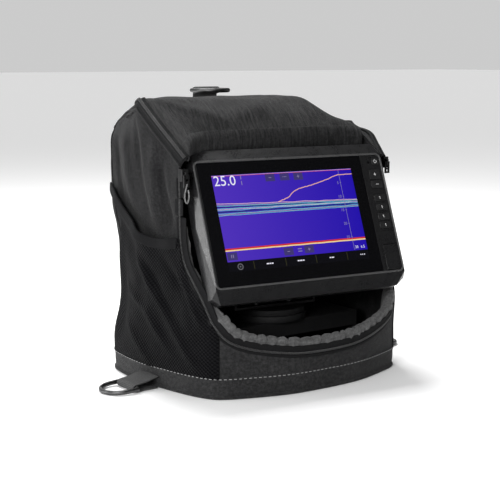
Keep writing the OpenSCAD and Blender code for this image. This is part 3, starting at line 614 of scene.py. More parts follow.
def noise_at(points):
    values = [noise.noise(Vector(p)) for p in points.reshape(-1, 3)]
    return np.array(values).reshape(points.shape[:-1])


def noise_along(s, step, y=0, z=0):
    """Noise along one line, with a pattern of its own for each y and z."""
    return noise_at(np.stack([s / step, s * 0 + y, s * 0 + z], axis=1))


# Folds of the cloth: ends, half width and height (a valley is negative)
HOOD_AND_BACK_FOLDS = [
    ((-150, 20, 345), (-70, -14, 318), 7, 2.4), ((-140, 24, 346), (-90, -4, 322), 6, -2.0),
    ((-60, -14, 316), (10, 10, 338), 12, 1.6), ((70, 20, 344), (110, -10, 318), 10, 2.2),
    ((20, 60, 348), (60, 0, 330), 14, -2.0), ((-90, 133, 270), (-60, 133, 120), 9, 2.4),
    ((40, 133, 280), (70, 133, 90), 10, -2.2), ((100, 130, 240), (60, 133, 70), 9, 2.2),
]
# On the sides the ends are (y, z), and their x is that of the bag or of the pocket over it
SIDE_FOLDS = {
    "left": [((30, 320), (10, 210), 6, -3.2), ((15, 300), (5, 205), 8, 2.6),
             ((-5, 290), (-5, 195), 9, 2.0), ((-20, 270), (-25, 200), 5, -3.0),
             ((80, 290), (70, 225), 6, -2.6), ((55, 300), (40, 215), 9, 2.4)],
    "right": [((40, 300), (10, 215), 8, 2.6), ((70, 290), (60, 220), 7, -2.6)],
}
POCKET_FOLDS = {
    "left": [((30, 160), (-15, 110), 7, 3.6), ((-15, 110), (-70, 40), 7, 3.0),
             ((10, 150), (-40, 90), 6, -2.6), ((65, 120), (5, 90), 6, 2.8),
             ((5, 90), (-30, 50), 6, 2.4), ((55, 75), (5, 30), 7, 2.6),
             ((-15, 165), (-70, 110), 6, -2.4), ((-45, 150), (-80, 90), 5, 2.2)],
    "right": [((30, 150), (-40, 70), 7, 3.0), ((70, 120), (0, 50), 7, 2.6)],
}


def on_side(folds, gap):
    """The folds of both sides, with their ends on the skin."""
    return [(skin(SIDES[side] * t_at(start[0]), start[1], gap),
             skin(SIDES[side] * t_at(end[0]), end[1], gap), width, height)
            for side, rows in folds.items() for start, end, width, height in rows]


FOLDS = HOOD_AND_BACK_FOLDS + on_side(SIDE_FOLDS, True) + on_side(POCKET_FOLDS, False)


FOLD_STRENGTH = 1.6


def fold_relief(p):
    out = np.zeros(p.shape[:-1])
    for start, end, width, height in FOLDS:
        a, b = np.array(start, float), np.array(end, float)
        along = np.clip(((p - a) @ (b - a)) / ((b - a) @ (b - a)), 0, 1)
        off = np.linalg.norm(p - (a + along[..., None] * (b - a)), axis=-1)
        taper = np.sin(math.pi * np.clip(along * 0.86 + 0.07, 0, 1)) ** 0.6
        out += height * taper * np.exp(-(off / width) ** 2)
    return out


def relief(p, n):
    """Height of the cloth's wrinkles at points p of the skin."""
    sideways = n[..., 0] ** 2
    upright = noise_at(np.stack([p[..., 1] / 21, p[..., 2] / 75, p[..., 0] / 60 + 5], axis=-1))
    slanting = noise_at(np.stack([(p[..., 1] - 0.6 * p[..., 2]) / 30, p[..., 2] / 60,
                                  p[..., 0] / 50], axis=-1))
    broad = noise_at(p / np.array([58, 42, 40]) + 3)
    fine = noise_at(p / np.array([17, 13, 15]) + 9)
    height = (sideways * (2.6 * upright + 1.6 * slanting) + (1 - sideways) * 2.6 * broad
              + 0.5 * fine)
    above_band = smooth(BAND_H, BAND_H + 45, p[..., 2])
    return height * above_band + FOLD_STRENGTH * fold_relief(p)


def sag(p):
    """How far the slack shoulders and the hood's middle have dropped."""
    x, y, z = p[..., 0], p[..., 1], p[..., 2]
    right = smooth(62, 160, x) * smooth(240, 335, z) * smooth(-32, 18, y)
    left = smooth(80, 165, -x) * smooth(285, BAG_H, z)
    out = np.zeros(p.shape)
    corner = smooth(122, 156, x) * smooth(225, 300, z) * smooth(70, 5, y)
    out[..., 2] -= 38 * right * (1 - 0.3 * smooth(40, 110, y)) + 14 * corner * (1 - 0.9 * right)
    out[..., 2] -= (3 + 2 * smooth(18, 50, y) + 9 * smooth(70, 110, y)) * left
    pinch = smooth(100, 160, -x) * smooth(40, 100, z) * smooth(215, 160, z) * smooth(10, 90, y)
    out[..., 0] += 8 * left * smooth(25, 75, y) + 10 * pinch - 4 * right
    middle = smooth(BAG_H - 30, BAG_H, z) * (1 - smooth(90, 160, np.abs(x)))
    out[..., 2] -= 4 * middle * smooth(-30, 40, y)
    return out


def drape(p, n):
    p, n = np.asarray(p, float), np.asarray(n, float)
    return p + n * relief(p, n)[..., None] + sag(p)


def cloth_panel(name, grid, flat, material, thickness, replaces, slot="nylon_black"):
    """A panel of the bag from a grid of skin points, wrinkled and given its thickness."""
    shaped = drape(grid, grid_normals(grid))
    piece = add_mesh(name, shaped.reshape(-1, 3), grid_faces(*grid.shape[:2]), material,
                     flat.reshape(-1, 2) * MM, replaces=replaces, slot=slot)
    weld_points(piece)
    subdivide(piece)
    solid = piece.modifiers.new("thickness", "SOLIDIFY")
    solid.thickness = thickness * MM
    solid.offset = -1
    return piece


# ---------- Bag panels ----------
def lip_z(t):
    """Height of the lip at a place round the front."""
    return np.interp(np.abs(t), np.linspace(0, 4.93, len(lip_line)), lip_line[:, 2])


def front_edge_t(z):
    """Place of the side panel's front edge at height z."""
    low_t = np.linspace(CORNER_T, 4.93, 8)
    edge = np.vstack([jamb_line[1:], slope_line])
    return np.interp(z, np.concatenate([lip_z(low_t), edge[:, 2]]),
                     np.concatenate([low_t, t_at(edge[:, 1])]))


def rear_edge_y(z):
    edge = seam_line[::-1]
    return np.where(z < edge[0, 1], REAR_Y, np.interp(z, edge[:, 1], edge[:, 0]))


def make_side_panel(side):
    rows, cols = 84, 52
    z = np.linspace(BAND_H - 1, BAG_H, rows)[:, None]
    share = np.linspace(0, 1, cols)[None, :]
    front = front_edge_t(z)
    t = front + (t_at(rear_edge_y(z)) - front) * share
    grid = skin(SIDES[side] * t, np.broadcast_to(z, t.shape))
    if side == "left":
        grid = grid[:, ::-1]
    cloth_panel(f"side_fabric_{side}", grid, grid[..., 1:], "nylon", 2.0,
                [f"side_panel_{side}"])


def make_front_panel():
    rows, cols = 14, 90
    t = np.linspace(-CORNER_T, CORNER_T, cols)[None, :]
    z = BAND_H - 1 + (lip_z(t) - BAND_H + 1) * np.linspace(0, 1, rows)[:, None]
    grid = skin(np.broadcast_to(t, z.shape), z)
    cloth_panel("front_fabric", grid, grid[..., [0, 2]], "band", 2.0, ["front_panel"])


def rear_arc(cols):
    """Places round the back, from the left rear seam to the right one."""
    half = np.linspace(t_at(REAR_Y), T_END, cols // 2 + 1)
    return np.concatenate([-half[:-1], half[::-1]])


def hood_seam_z(t):
    """Height of the hood's lower seam round the back."""
    behind = np.interp(np.abs(t), [t_at(REAR_Y), 11, 12, T_END],
                       [SEAM[-1][1], BAG_H - 42, BAG_H - 50, BAG_H - 51])
    beside = np.interp(y_at(t), seam_line[:, 0], seam_line[:, 1])
    return np.where(np.abs(t) < t_at(REAR_Y), beside, behind)


def make_back_panel():
    rows, cols = 56, 96
    t = rear_arc(cols)[None, :]
    z = BAND_H - 1 + (hood_seam_z(t) - BAND_H + 1) * np.linspace(0, 1, rows)[:, None]
    grid = skin(np.broadcast_to(t, z.shape), z)[:, ::-1]
    cloth_panel("back_fabric", grid, grid[..., [0, 2]], "nylon", 2.0, ["back_panel"])


# (y, z) from the crease over the front edge and down behind it, by distance from the middle
HOOD_LINES = {
    104: [(18, 348), (4, 338), (-9, 326), (-19, 313), (-25, 304.5), (-27, 300.5),
          (-24, 297.8), (-10, 296.8), (14, 291), (36, 262), (39, 240)],
    132: [(18, 348), (6, 338), (-7, 327.5), (-20, 316), (-31, 307), (-38, 302), (-40, 299.5),
          (-36, 297.6), (-27, 297), (-17, 297), (-10, 297)],
    150: [(18, 348), (2, 334), (-14, 320), (-28, 308), (-42, 296), (-52, 287),
          (-60, 279), (-58, 277), (-55, 276), (-52, 275), (-50, 274)],
}


TUCKED_ROWS = 11


def hood_column(t, crease_x):
    """One line of the hood, from the tucked flap over the crease to the rear seam."""
    front_x = abs(crease_x) / slope_line[-1, 0] * slope_line[0, 0]
    shapes = np.array([curve_through(line, 3) for line in HOOD_LINES.values()])
    at = list(HOOD_LINES)
    front = np.array([[np.interp(front_x, at, shapes[:, k, j]) for j in (0, 1)]
                      for k in range(shapes.shape[1])])[::-1]
    tucked = np.arange(len(front)) <= TUCKED_ROWS
    share = smooth(18, -36, front[:, 0]) * ~tucked + tucked
    lines = [np.column_stack([abs(crease_x) + (front_x - abs(crease_x)) * share, front])]
    low = float(hood_seam_z(np.array(t)))
    heights = np.concatenate([np.linspace(BAG_H, BAG_H - 48, 60), [min(low, BAG_H - 48)]])
    heights = np.maximum(heights, low)
    rear = skin(np.full(len(heights), abs(t)), heights)
    top = np.array([abs(crease_x), SEAM[0][0], BAG_H])
    share = np.linspace(0, 1, 9)[1:, None]
    lines.append(top + (rear[0] - top) * share)
    distance = lengths(rear)
    at = np.linspace(0, distance[-1], 17)[1:]
    lines.append(values_at(at, distance, rear))
    line = np.vstack(lines)
    line[:, 0] *= 1.0 if t >= 0 else -1.0
    return line


def make_hood():
    half = 44
    t0 = t_at(SEAM[0][0])
    arc_t = np.linspace(t0, T_END, 400)
    arc = lengths(skin(arc_t, np.full(400, 250.0))[:, :2])
    at = np.linspace(0, arc[-1], half)
    t = np.interp(at, arc, arc_t)
    crease = slope_line[-1, 0] * (1 - (at / arc[-1]) ** 1.15)
    columns = [hood_column(a, c) for a, c in zip(t, crease)]
    columns += [line * np.array([-1, 1, 1]) for line in columns[-2::-1]]
    grid = np.stack(columns, axis=1)
    for _ in range(3):
        inner = grid.copy()
        inner[1:-1, 1:-1] = (grid[1:-1, 1:-1] * 2 + grid[:-2, 1:-1] + grid[2:, 1:-1]
                             + grid[1:-1, :-2] + grid[1:-1, 2:]) / 6
        grid = inner
    run = np.array([lengths(grid[:, k]) for k in range(grid.shape[1])]).T
    flat = np.stack([grid[..., 0], run], axis=-1)
    grid, flat = grid[:, ::-1], flat[:, ::-1]
    cloth_panel("hood_fabric", grid, flat, "hood", 2.0, ["hood"])


# (y, z) of the hem that hangs from the hood's front edge on to the display
HEM_LINES = {
    104: [(-24.2, 307), (-27.2, 301.5), (-28.6, 296), (-28.8, 289), (-28, 284), (-26, 282),
          (-24, 284), (-23.6, 291), (-22, 296)],
    132: [(-35.6, 305), (-40, 300.5), (-41.6, 296), (-41.8, 289), (-41, 284), (-39, 282),
          (-37, 284), (-36.5, 291), (-35, 296)],
    150: [(-46.5, 293.5), (-54.6, 286.6), (-58.6, 282.6), (-60.6, 279.4), (-60.4, 277.4),
          (-58.5, 276.6), (-56.5, 277.4), (-54, 279), (-52, 280)],
}


HEM_ENDS = (-150, 130)


def make_hood_hem():
    shapes = np.array([curve_through(line, 3) for line in HEM_LINES.values()])[:, ::-1]
    x = np.linspace(*HEM_ENDS, 77)
    known = list(HEM_LINES)
    grid = np.array([[(at, *(np.interp(abs(at), known, shapes[:, k, j]) for j in (0, 1)))
                      for at in x[::-1]] for k in range(len(shapes[0]))])
    run = np.array([lengths(grid[:, k]) for k in range(grid.shape[1])]).T
    hem = cloth_panel("hood_hem", grid, np.stack([grid[..., 0], run], axis=-1), "hood", 1.4,
                      ["hood"])
    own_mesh(hem)


BAND_PROFILE = [(-26, 0.5), (-8, 0.3), (-3, 0.2), (-0.8, 0.1), (1.0, 0.7), (1.5, 2.2), (0.9, 3.7),
                (-0.3, 4.4), (-0.6, 5.4), (0.1, 8), (0.5, 14), (0.4, 20), (0.8, 22.5),
                (1.5, 24.2), (1.5, 25.4), (0.6, 26.3), (-1.0, 26.5), (-2.2, 25.5), (-2.4, 20)]


def ring_places(count):
    """Places round the whole outline, evenly spaced in distance, and the outline's length."""
    t = np.linspace(-T_END, T_END, 1201)[:-1]
    base = skin(t, np.full(len(t), 5.0), gap=False)
    s = lengths(np.vstack([base, base[:1]]))
    at = np.linspace(0, s[-1], count, endpoint=False)
    return np.interp(at, s, np.append(t, T_END)), s[-1]


def make_band():
    cols = 300
    t, round_it = ring_places(cols)
    base = skin(t, np.zeros(cols), gap=False)
    out = skin_normal(t, np.zeros(cols), gap=False)
    out[:, 2] = 0
    profile = np.array(BAND_PROFILE)
    ripple = 0.7 * noise_at(base / np.array([32, 32, 9]))
    rows = []
    for push, z in profile:
        soft = ripple * smooth(2, 10, z) * (1 - smooth(20, 26, z) * 0.5)
        rows.append(base + out * (push + soft)[:, None] + np.array([0, 0, z]))
    grid = np.stack(rows)
    flat = np.stack(np.broadcast_arrays(np.linspace(0, round_it, cols)[None, :],
                                        lengths(profile)[:, None]), axis=-1)
    points = grid.reshape(-1, 3)
    faces = grid_faces(len(rows), cols, closed=True)
    piece = add_mesh("base_band_fabric", points, faces, "band", flat.reshape(-1, 2) * MM,
                     replaces=["base_band"], slot="nylon_black")
    bottom = Bundle()
    bottom.add(np.vstack([grid[0], [[0, 0, 0.5]]]),
               [(k, cols, (k + 1) % cols) for k in range(cols)],
               np.vstack([grid[0][:, :2], [[0, 0]]]) * MM)
    bottom.make("base_sole", "band", replaces=["base_band"], slot="nylon_black")
    subdivide(piece)


def stitches(bundle, path, normals, length, pitch, radius):
    """Short thread capsules along a path."""
    s = lengths(path)
    turn = np.linspace(0, 2 * math.pi, 6, endpoint=False)
    for start in np.arange(pitch / 2, s[-1] - length, pitch):
        at = start + length * np.array([0, 0.2, 0.8, 1])
        spine = values_at(at, s, path)
        n = unit(values_at(start, s, normals))
        d = unit(spine[-1] - spine[0])
        across = np.cross(n, d)
        spine += n * radius * np.array([-0.6, 0.5, 0.5, -0.6])[:, None]
        ring = radius * (np.cos(turn)[:, None] * across + 0.8 * np.sin(turn)[:, None] * n)
        points = (spine[:, None, :] + ring[None]).reshape(-1, 3)
        bundle.add(points, grid_faces(4, 6, closed=True) + end_faces(4, 6))


def make_band_stitching():
    cols = 400
    t, _ = ring_places(cols)
    z = np.full(cols, 0.0)
    out = skin_normal(t, z, gap=False)
    out[:, 2] = 0
    line = skin(t, z, gap=False) + out * 1.5 + np.array([0, 0, 24.8])
    line = np.vstack([line, line[:1]])
    out = np.vstack([out, out[:1]])
    seam = Bundle()
    stitches(seam, line, out, 3.4, 6.0, 0.4)
    seam.make("band_stitching", "thread", slot="webbing_grey")


# ---------- Side pockets ----------
POCKET_TOP = [(-99, 76), (-94, 89), (-80, 116), (-66, 136), (-54, 160), (-49, 184), (-30, 183),
              (-8, 182.5), (8, 185), (20, 189), (34, 200), (52, 211), (76, 228), (REAR_Y + 6, 240)]
pocket_top_line = curve_through(POCKET_TOP, 8)


def pocket_top_at(y):
    return np.interp(y, pocket_top_line[:, 0], pocket_top_line[:, 1])


def pocket_surface(t, z):
    """Outside of the mesh pocket: it stands off most near its bound edge."""
    y = y_at(t)
    top = pocket_top_at(y)
    grid = skin(t, z, gap=False)
    normal = skin_normal(t, z, gap=False)
    near_top = smooth(45, 0, top - z) * smooth(-45, 10, y) * smooth(118, 70, y)
    waist = np.exp(-((top - z - 42) / 24) ** 2) * smooth(-10, 70, y)
    return grid + normal * (1.4 + 3.0 * near_top - 5.5 * waist)[..., None], normal


def make_pocket(side):
    rows, cols = 60, 64
    share = np.linspace(0, 1, cols)[None, :]
    t = CORNER_T - 0.05 + (t_at(REAR_Y + 6) - CORNER_T) * share
    top = pocket_top_at(y_at(t))
    z = BAND_H - 0.5 + (top - BAND_H + 0.5) * np.linspace(0, 1, rows)[:, None]
    t = np.broadcast_to(t, z.shape) * SIDES[side]
    grid, _ = pocket_surface(t, z)
    if side == "left":
        grid = grid[:, ::-1]
    cloth_panel(f"mesh_pocket_fabric_{side}", grid, grid[..., 1:], "mesh", 1.0,
                [f"mesh_pocket_{side}"], "mesh_black")


def make_bindings():
    tape = Bundle()
    for sign in SIDES.values():
        y = np.linspace(-47.5, REAR_Y + 5, 70)
        z = pocket_top_at(y) - 5.6
        t = t_at(y) * sign
        path, normal = pocket_surface(t, z)
        path = drape(path, normal) + 0.2 * normal
        along = tangents(path)
        up = unit(np.cross(normal, along) * sign)
        up = np.where(up[:, 2:] < 0, -up, up)
        tape.sweep(path, normal, up, pillow(1.35, 6.3, 20, 5))
    tape.make("pocket_edge_bindings", "binding", replaces=["pocket_bindings"],
              slot="webbing_grey")


# ---------- Mouth: lining and zip ----------
def mouth_path(jamb_top, step):
    """The mouth's edge from the left jamb at height jamb_top, round the lip, to the right."""
    jamb = jamb_line[jamb_line[:, 2] <= jamb_top]
    right = np.vstack([lip_line, jamb[1:]])
    return resample(np.vstack([flip(right)[::-1], right[1:]]), step)


def mouth_frame(path):
    """Directions across the edge: inwards, and along the panel away from it."""
    along = tangents(path)
    flat_in = -unit(path * np.array([1.3, 1, 0]))
    inward = unit(flat_in - along * np.sum(flat_in * along, axis=1, keepdims=True))
    upward = unit(np.cross(along, inward))
    upward = np.where((upward[:, 2:] < 0), -upward, upward)
    return inward, upward


LINING_PROFILE = [(1.2, 5), (0.8, 8.5), (1.6, 13), (4.0, 16.4), (7.4, 16.8), (10.4, 13.6),
                  (11.6, 8), (12.2, -2), (12.6, -14), (11.4, -14), (10.4, -2), (5, 4)]
LINING_TOP = 200
PLEAT_GAPS = (9, 19)
PLEAT_DEPTHS = (0.45, 1.0)
PLEAT_SWELL = 4.6
JAMB_OFFSET = 4.2


def make_lining():
    path = mouth_path(LINING_TOP, 1.6)
    inward, upward = mouth_frame(path)
    s = lengths(path)
    knots = np.cumsum(np.concatenate([[0], rng.uniform(*PLEAT_GAPS, int(s[-1] / PLEAT_GAPS[0]))]))
    depths = rng.uniform(*PLEAT_DEPTHS, len(knots))
    slant = rng.uniform(-1, 1, len(knots))
    profile = curve_through(LINING_PROFILE + LINING_PROFILE[:1], 3)[:-1]
    n, m = len(path), len(profile)
    beside = smooth(88, 112, path[:, 2])
    ragged = 0.5 + 0.5 * noise_along(s, 14)
    across = 1 - beside * (0.62 + 0.16 * ragged)
    along_panel = 1 - beside * (0.45 + 0.3 * ragged)
    grid = np.zeros((n, m, 3))
    for k, (a, b) in enumerate(profile):
        at = s + np.interp(s, knots, slant) * 0.9 * (a - 5) + 2.5 * math.sin(b / 5)
        cell = np.clip(np.searchsorted(knots, at) - 1, 0, len(knots) - 2)
        place = np.clip((at - knots[cell]) / (knots[cell + 1] - knots[cell]), 0, 1)
        puff = np.abs(np.sin(math.pi * place)) ** 0.45 - 0.7
        swell = PLEAT_SWELL * puff * depths[cell] * smooth(-6, 8, b) * (1 - 0.5 * beside)
        away = unit(np.array([a, b]) - np.array([6.0, 8.5]))
        inwards = a * across + JAMB_OFFSET * beside + swell * away[0]
        grid[:, k] = (path + inward * inwards[:, None]
                      + upward * (b * along_panel + swell * away[1])[:, None])
    crumple = noise_at(grid / np.array([5, 5, 4])) * 0.8
    normal = unit(np.cross(np.gradient(grid, axis=0), np.gradient(grid, axis=1)))
    grid += normal * crumple[..., None]
    faces = grid_faces(n, m, closed=True) + end_faces(n, m)
    flat = np.stack(np.broadcast_arrays(lengths(profile)[None, :], s[:, None]), axis=-1)
    piece = add_mesh("mouth_lining_roll", grid.reshape(-1, 3), faces, "lining",
                     flat.reshape(-1, 2) * MM, replaces=["mouth_lining"], slot="lining_grey")
    subdivide(piece)


def teeth(bundle, path, across, out, pitch, half):
    """Zip teeth: small rounded bars across a path. half is (across, along, out)."""
    s = lengths(path)
    at = np.arange(pitch, s[-1] - pitch, pitch)
    spots = values_at(at, s, path)
    a, o = unit(values_at(at, s, across)), unit(values_at(at, s, out))
    d = unit(np.cross(a, o))
    turn = np.linspace(0, 2 * math.pi, 6, endpoint=False)
    for p, x, y, w in zip(spots, a, d, o):
        ring = half[1] * np.cos(turn)[:, None] * y + half[2] * np.sin(turn)[:, None] * w
        points = np.concatenate([p + x * half[0] * e + ring * f
                                 for e, f in ((-1, 0.55), (-0.7, 1), (0.7, 1), (1, 0.55))])
        bundle.add(points, grid_faces(4, 6, closed=True) + end_faces(4, 6))


def make_mouth_zip():
    path = mouth_path(262, 3.0)
    inward, upward = mouth_frame(path)
    outward = -inward
    tape = Bundle()
    tape.sweep(path + upward * 3.4 + inward * 0.4, outward, upward, pillow(0.8, 5.4, 16, 5))
    tape.sweep(path - upward * 3.6 + outward * 1.0, outward, upward, pillow(0.8, 1.7, 12, 3))
    tape.make("mouth_zip_tape", "tape", replaces=["mouth_zip"], slot="zip_black")
    chain = Bundle()
    teeth(chain, path + outward * 1.1, upward, outward, 1.5, (1.5, 0.45, 0.7))
    chain.make("mouth_zip_teeth", "coil", replaces=["mouth_zip"], slot="zip_black")


def hood_zip_path():
    line = np.vstack([slope_line, [skin(t_at(y), z) for y, z in seam_line[1:]]])
    return resample(line, 3.0)


def make_hood_zips():
    tape, chain, welts = Bundle(), Bundle(), Bundle()
    for sign in SIDES.values():
        mirror = np.array([sign, 1, 1])
        path = hood_zip_path()
        along = tangents(path)
        side_out = skin_normal(t_at(path[:, 1]), np.minimum(path[:, 2], BAG_H) - 3)
        forward = -0.62 * smooth(40, 0, path[:, 1])
        hood_out = unit(np.column_stack([np.full(len(path), 0.15), forward,
                                         np.full(len(path), 0.75)]))
        down = unit(np.cross(along, side_out))
        down = np.where(down[:, 2:] > 0, -down, down)
        over = unit(np.cross(along, hood_out))
        over = np.where(over[:, :1] > 0, -over, over)
        out = unit(side_out + hood_out)
        path, down, over, out, side_out, hood_out = (
            v * mirror for v in (path, down, over, out, side_out, hood_out))
        path = drape(path, out)
        tape.sweep(path + down * 5.2 + side_out * 0.6, down, side_out, pillow(6.0, 0.8, 18, 5))
        tape.sweep(path + over * 2.4 + hood_out * 0.5, over, hood_out, pillow(2.6, 0.8, 14, 5))
        teeth(chain, path + out * 1.3, unit(over - down), out, 1.5, (1.9, 0.45, 0.7))
        for at, face, radius in ((down * 11, side_out, 2.2), (down * 4.2, side_out, 1.1),
                                 (over * 5.6, hood_out, 1.8)):
            welts.sweep(path + at + face * 0.7, np.cross(tangents(path), face), face,
                        oval(radius, radius * 0.8, 12))
    tape.make("hood_zip_tapes", "tape", replaces=["hood_zips"], slot="zip_black")
    chain.make("hood_zip_teeth", "coil", replaces=["hood_zips"], slot="zip_black")
    welts.make("hood_zip_welts", "nylon", replaces=["hood_zips"], slot="nylon_black")


# ---------- Seams ----------
def seam_bead(seams, t, z, profile):
    """A raised seam along places t, z of the skin."""
    normal = skin_normal(t, z)
    path = drape(skin(t, z), normal)
    seams.sweep(path + 0.3 * normal, np.cross(normal, tangents(path)), normal, profile)


def make_seams():
    seams = Bundle()
    low = BAND_H + 1
    for sign in SIDES.values():
        for t, high in ((CORNER_T - 0.03, 88), (t_at(REAR_Y), SEAM[-1][1])):
            z = np.linspace(low, high, max(6, int((high - low) / 4)))
            seam_bead(seams, np.full(len(z), sign * t), z, oval(1.3, 0.9, 8))
    t = rear_arc(80)
    seam_bead(seams, t, hood_seam_z(t), oval(1.4, 1.0, 8))
    seams.make("panel_seams", "nylon", slot="nylon_black")


# ---------- Webbing ----------
def strap_loop(strap, line, half):
    """Webbing carried along a line of (out, up) points in a vertical plane."""
    path = resample(np.asarray(line, float), 1.5)
    along = tangents(path)
    side = unit(np.cross(np.array([0, 0, 1.0]), half))
    strap.sweep(path, np.broadcast_to(side, path.shape), np.cross(along, side),
                pillow(19, 0.85, 20, 8))


BAR_BEND = 3.9


def make_webbings():
    """A strap folded round each ring's bar, with its ends sewn into the bag."""
    turn = np.radians(np.linspace(-90, 90, 13))
    strap = Bundle()
    for side, sign in SIDES.items():
        pivot = np.array(JOINTS[f"side_ring_{side}_hinge"]["pos_m"]) / MM
        out, up = np.array([sign, 0, 0.0]), np.array([0, 0, 1.0])
        loop = [pivot + BAR_BEND * (math.cos(a) * out + math.sin(a) * up) for a in turn]
        strap_loop(strap, [pivot - 30 * out - BAR_BEND * up, *loop, pivot - 15 * out + 6 * up,
                           pivot - 31 * out + 10 * up], out)
    strap.make("side_webbing_loops", "webbing", replaces=["side_webbings"], slot="webbing_grey")
    top = Bundle()
    pivot = np.array(JOINTS["top_ring_hinge"]["pos_m"]) / MM
    out, back, up = np.array([0, -1.0, 0]), np.array([0, 1.0, 0]), np.array([0, 0, 1.0])
    loop = [pivot + BAR_BEND * (math.cos(a) * out + math.sin(a) * up) for a in turn]
    down = [np.array(p, float) for p in ((0, 134.9, 292), (0, 133.8, 308), (0, 131.8, 322))]
    strap_loop(top, [*down, pivot + BAR_BEND * back - 14 * up, pivot + 3.0 * back - 3.2 * up, *loop,
                     pivot + 4.2 * back + 2.4 * up, pivot + 5.6 * back - 3 * up], out)
    top.make("top_webbing_loop", "webbing", replaces=["top_webbing"], slot="webbing_grey")


# ---------- Display face ----------
def display_axes():
    """Right, into the housing, and up the face; and the middle of the face, in millimetres."""
    depth = np.array(JOINTS["power_button_press"]["axis"], float)
    right = -np.array(JOINTS["display_tilt"]["axis"], float)
    depth, right = depth / np.linalg.norm(depth), right / np.linalg.norm(right)
    rise = np.cross(right, depth)
    points = np.array([v.co for v in NODES["front_bezel"].data.vertices]) / MM
    spans = [points @ a for a in (right, depth, rise)]
    across, up = ((span.min() + span.max()) / 2 for span in (spans[0], spans[2]))
    return right, depth, rise, across * right + spans[1].min() * depth + up * rise


RIGHT, DEPTH, RISE, FACE_MID = display_axes()


def on_face(points):
    """(u, v, depth) millimetres on the display face to frame millimetres."""
    p = np.asarray(points, float)
    return FACE_MID + p[..., :1] * RIGHT + p[..., 1:2] * RISE + p[..., 2:] * DEPTH


LIT = {"base_color": (0.002, 0.002, 0.003, 1), "roughness": 0.12, "emission_strength": 1.0}


def glow(name, colour, low=None):
    """A lit picture element behind glossy glass."""
    s = Shader(name, **LIT)
    if low is None:
        s.set("Emission Color", (*colour, 1))
    else:
        cloth = s.node("TexCoord", out=2)
        axes = s.node("SeparateXYZ", {0: cloth}).node
        s.set("Emission Color", s.ramp(axes.outputs[0], (0.0, low), (0.45, tuple(
            (a + b) / 2 for a, b in zip(low, colour))), (1.0, colour)))
    return s.material


def srgb(text):
    """Linear colour of a hex code."""
    parts = [int(text[k:k + 2], 16) / 255 for k in (0, 2, 4)]
    return tuple(c / 12.92 if c < 0.04045 else ((c + 0.055) / 1.055) ** 2.4 for c in parts)


def echo(name, stops, scale=(60, 900)):
    """Streaky sonar echo colours."""
    s = Shader(name, **LIT)
    cloth = s.scaled(s.node("TexCoord", out=2), (scale[0], scale[1], 1))
    grains = s.noise(cloth, 1.0, 4, 0.75)
    s.set("Emission Color", s.ramp(grains, *[(at, srgb(c)) for at, c in stops]))
    return s.material


SCREEN = (-111.7, 85.3, -57.3, 58.7)
BAR_TOP = -45.5
# Echo lines across the screen: height at the left and at the right, half width and colour
ECHO_LINES = [(24.6, 19.0, 0.36, "echo_pink"), (23.2, 18.2, 0.34, "echo_warm"),
              (21.9, 17.5, 0.36, "echo_cool"), (20.2, 16.9, 0.7, "shade"),
              (18.3, 16.4, 0.40, "echo_cool"), (17.2, 15.7, 0.30, "echo_pink"),
              (16.1, 15.0, 0.36, "echo_cool"), (14.2, 13.5, 0.8, "shade"),
              (12.0, 11.8, 0.38, "echo_cool"), (10.9, 10.9, 0.36, "echo_warm"),
              (9.7, 9.9, 0.32, "echo_cool")]


class FacePrint:
    """Thin flat marks on the display face, one mesh with several materials."""

    def __init__(self, depth):
        self.depth, self.points, self.faces, self.slots, self.uvs = depth, [], [], [], []

    def shape(self, outline, material, lift=0.0):
        start = len(self.points)
        for u, v in outline:
            self.points.append((u, v, self.depth - lift))
            self.uvs.append(((u - SCREEN[0]) / (SCREEN[1] - SCREEN[0]),
                             (v - SCREEN[2]) / (SCREEN[3] - SCREEN[2])))
        self.faces.append(tuple(range(start, start + len(outline))))
        self.slots.append(material)

    def rect(self, u0, u1, v0, v1, material, lift=0.0):
        self.shape([(u0, v0), (u1, v0), (u1, v1), (u0, v1)], material, lift)

    def ribbon(self, line, half, material, lift=0.0):
        line = np.asarray(line, float)
        along = tangents(line)
        side = np.stack([-along[:, 1], along[:, 0]], axis=1)
        half = np.broadcast_to(half, len(line))
        for k in range(len(line) - 1):
            a, b = line[k], line[k + 1]
            self.shape([a - side[k] * half[k], b - side[k + 1] * half[k + 1],
                        b + side[k + 1] * half[k + 1], a + side[k] * half[k]], material, lift)

    def disc(self, u, v, r, material, lift=0.0, n=20):
        turn = np.linspace(0, 2 * math.pi, n, endpoint=False)
        self.shape([(u + r * math.cos(a), v + r * math.sin(a)) for a in turn], material, lift)

    def text(self, words, u, v, height, material, lift=0.0, align="CENTER"):
        """Plain figures, taken from the built-in font."""
        data = bpy.data.curves.new("figures", "FONT")
        data.body, data.size, data.align_x, data.align_y = words, height * 1.38, align, "CENTER"
        data.resolution_u = 3
        temp = add_object("figures", data)
        bpy.context.view_layer.update()
        shape = temp.to_mesh()
        for polygon in shape.polygons:
            self.shape([(u + shape.vertices[k].co.x, v + shape.vertices[k].co.y)
                        for k in polygon.vertices], material, lift)
        temp.to_mesh_clear()
        bpy.data.objects.remove(temp)
        bpy.data.curves.remove(data)

    def make(self, name, materials, body="display", slot="lcd"):
        data = bpy.data.meshes.new(name)
        data.from_pydata((on_face(np.array(self.points)) * MM).tolist(), [], self.faces)
        names = sorted(set(self.slots))
        for key in names:
            data.materials.append(materials[key])
        data.polygons.foreach_set("material_index", [names.index(k) for k in self.slots])
        lay_cloth(data, self.uvs)
        data.update()
        piece = add_object(name, data)
        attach(piece, body)


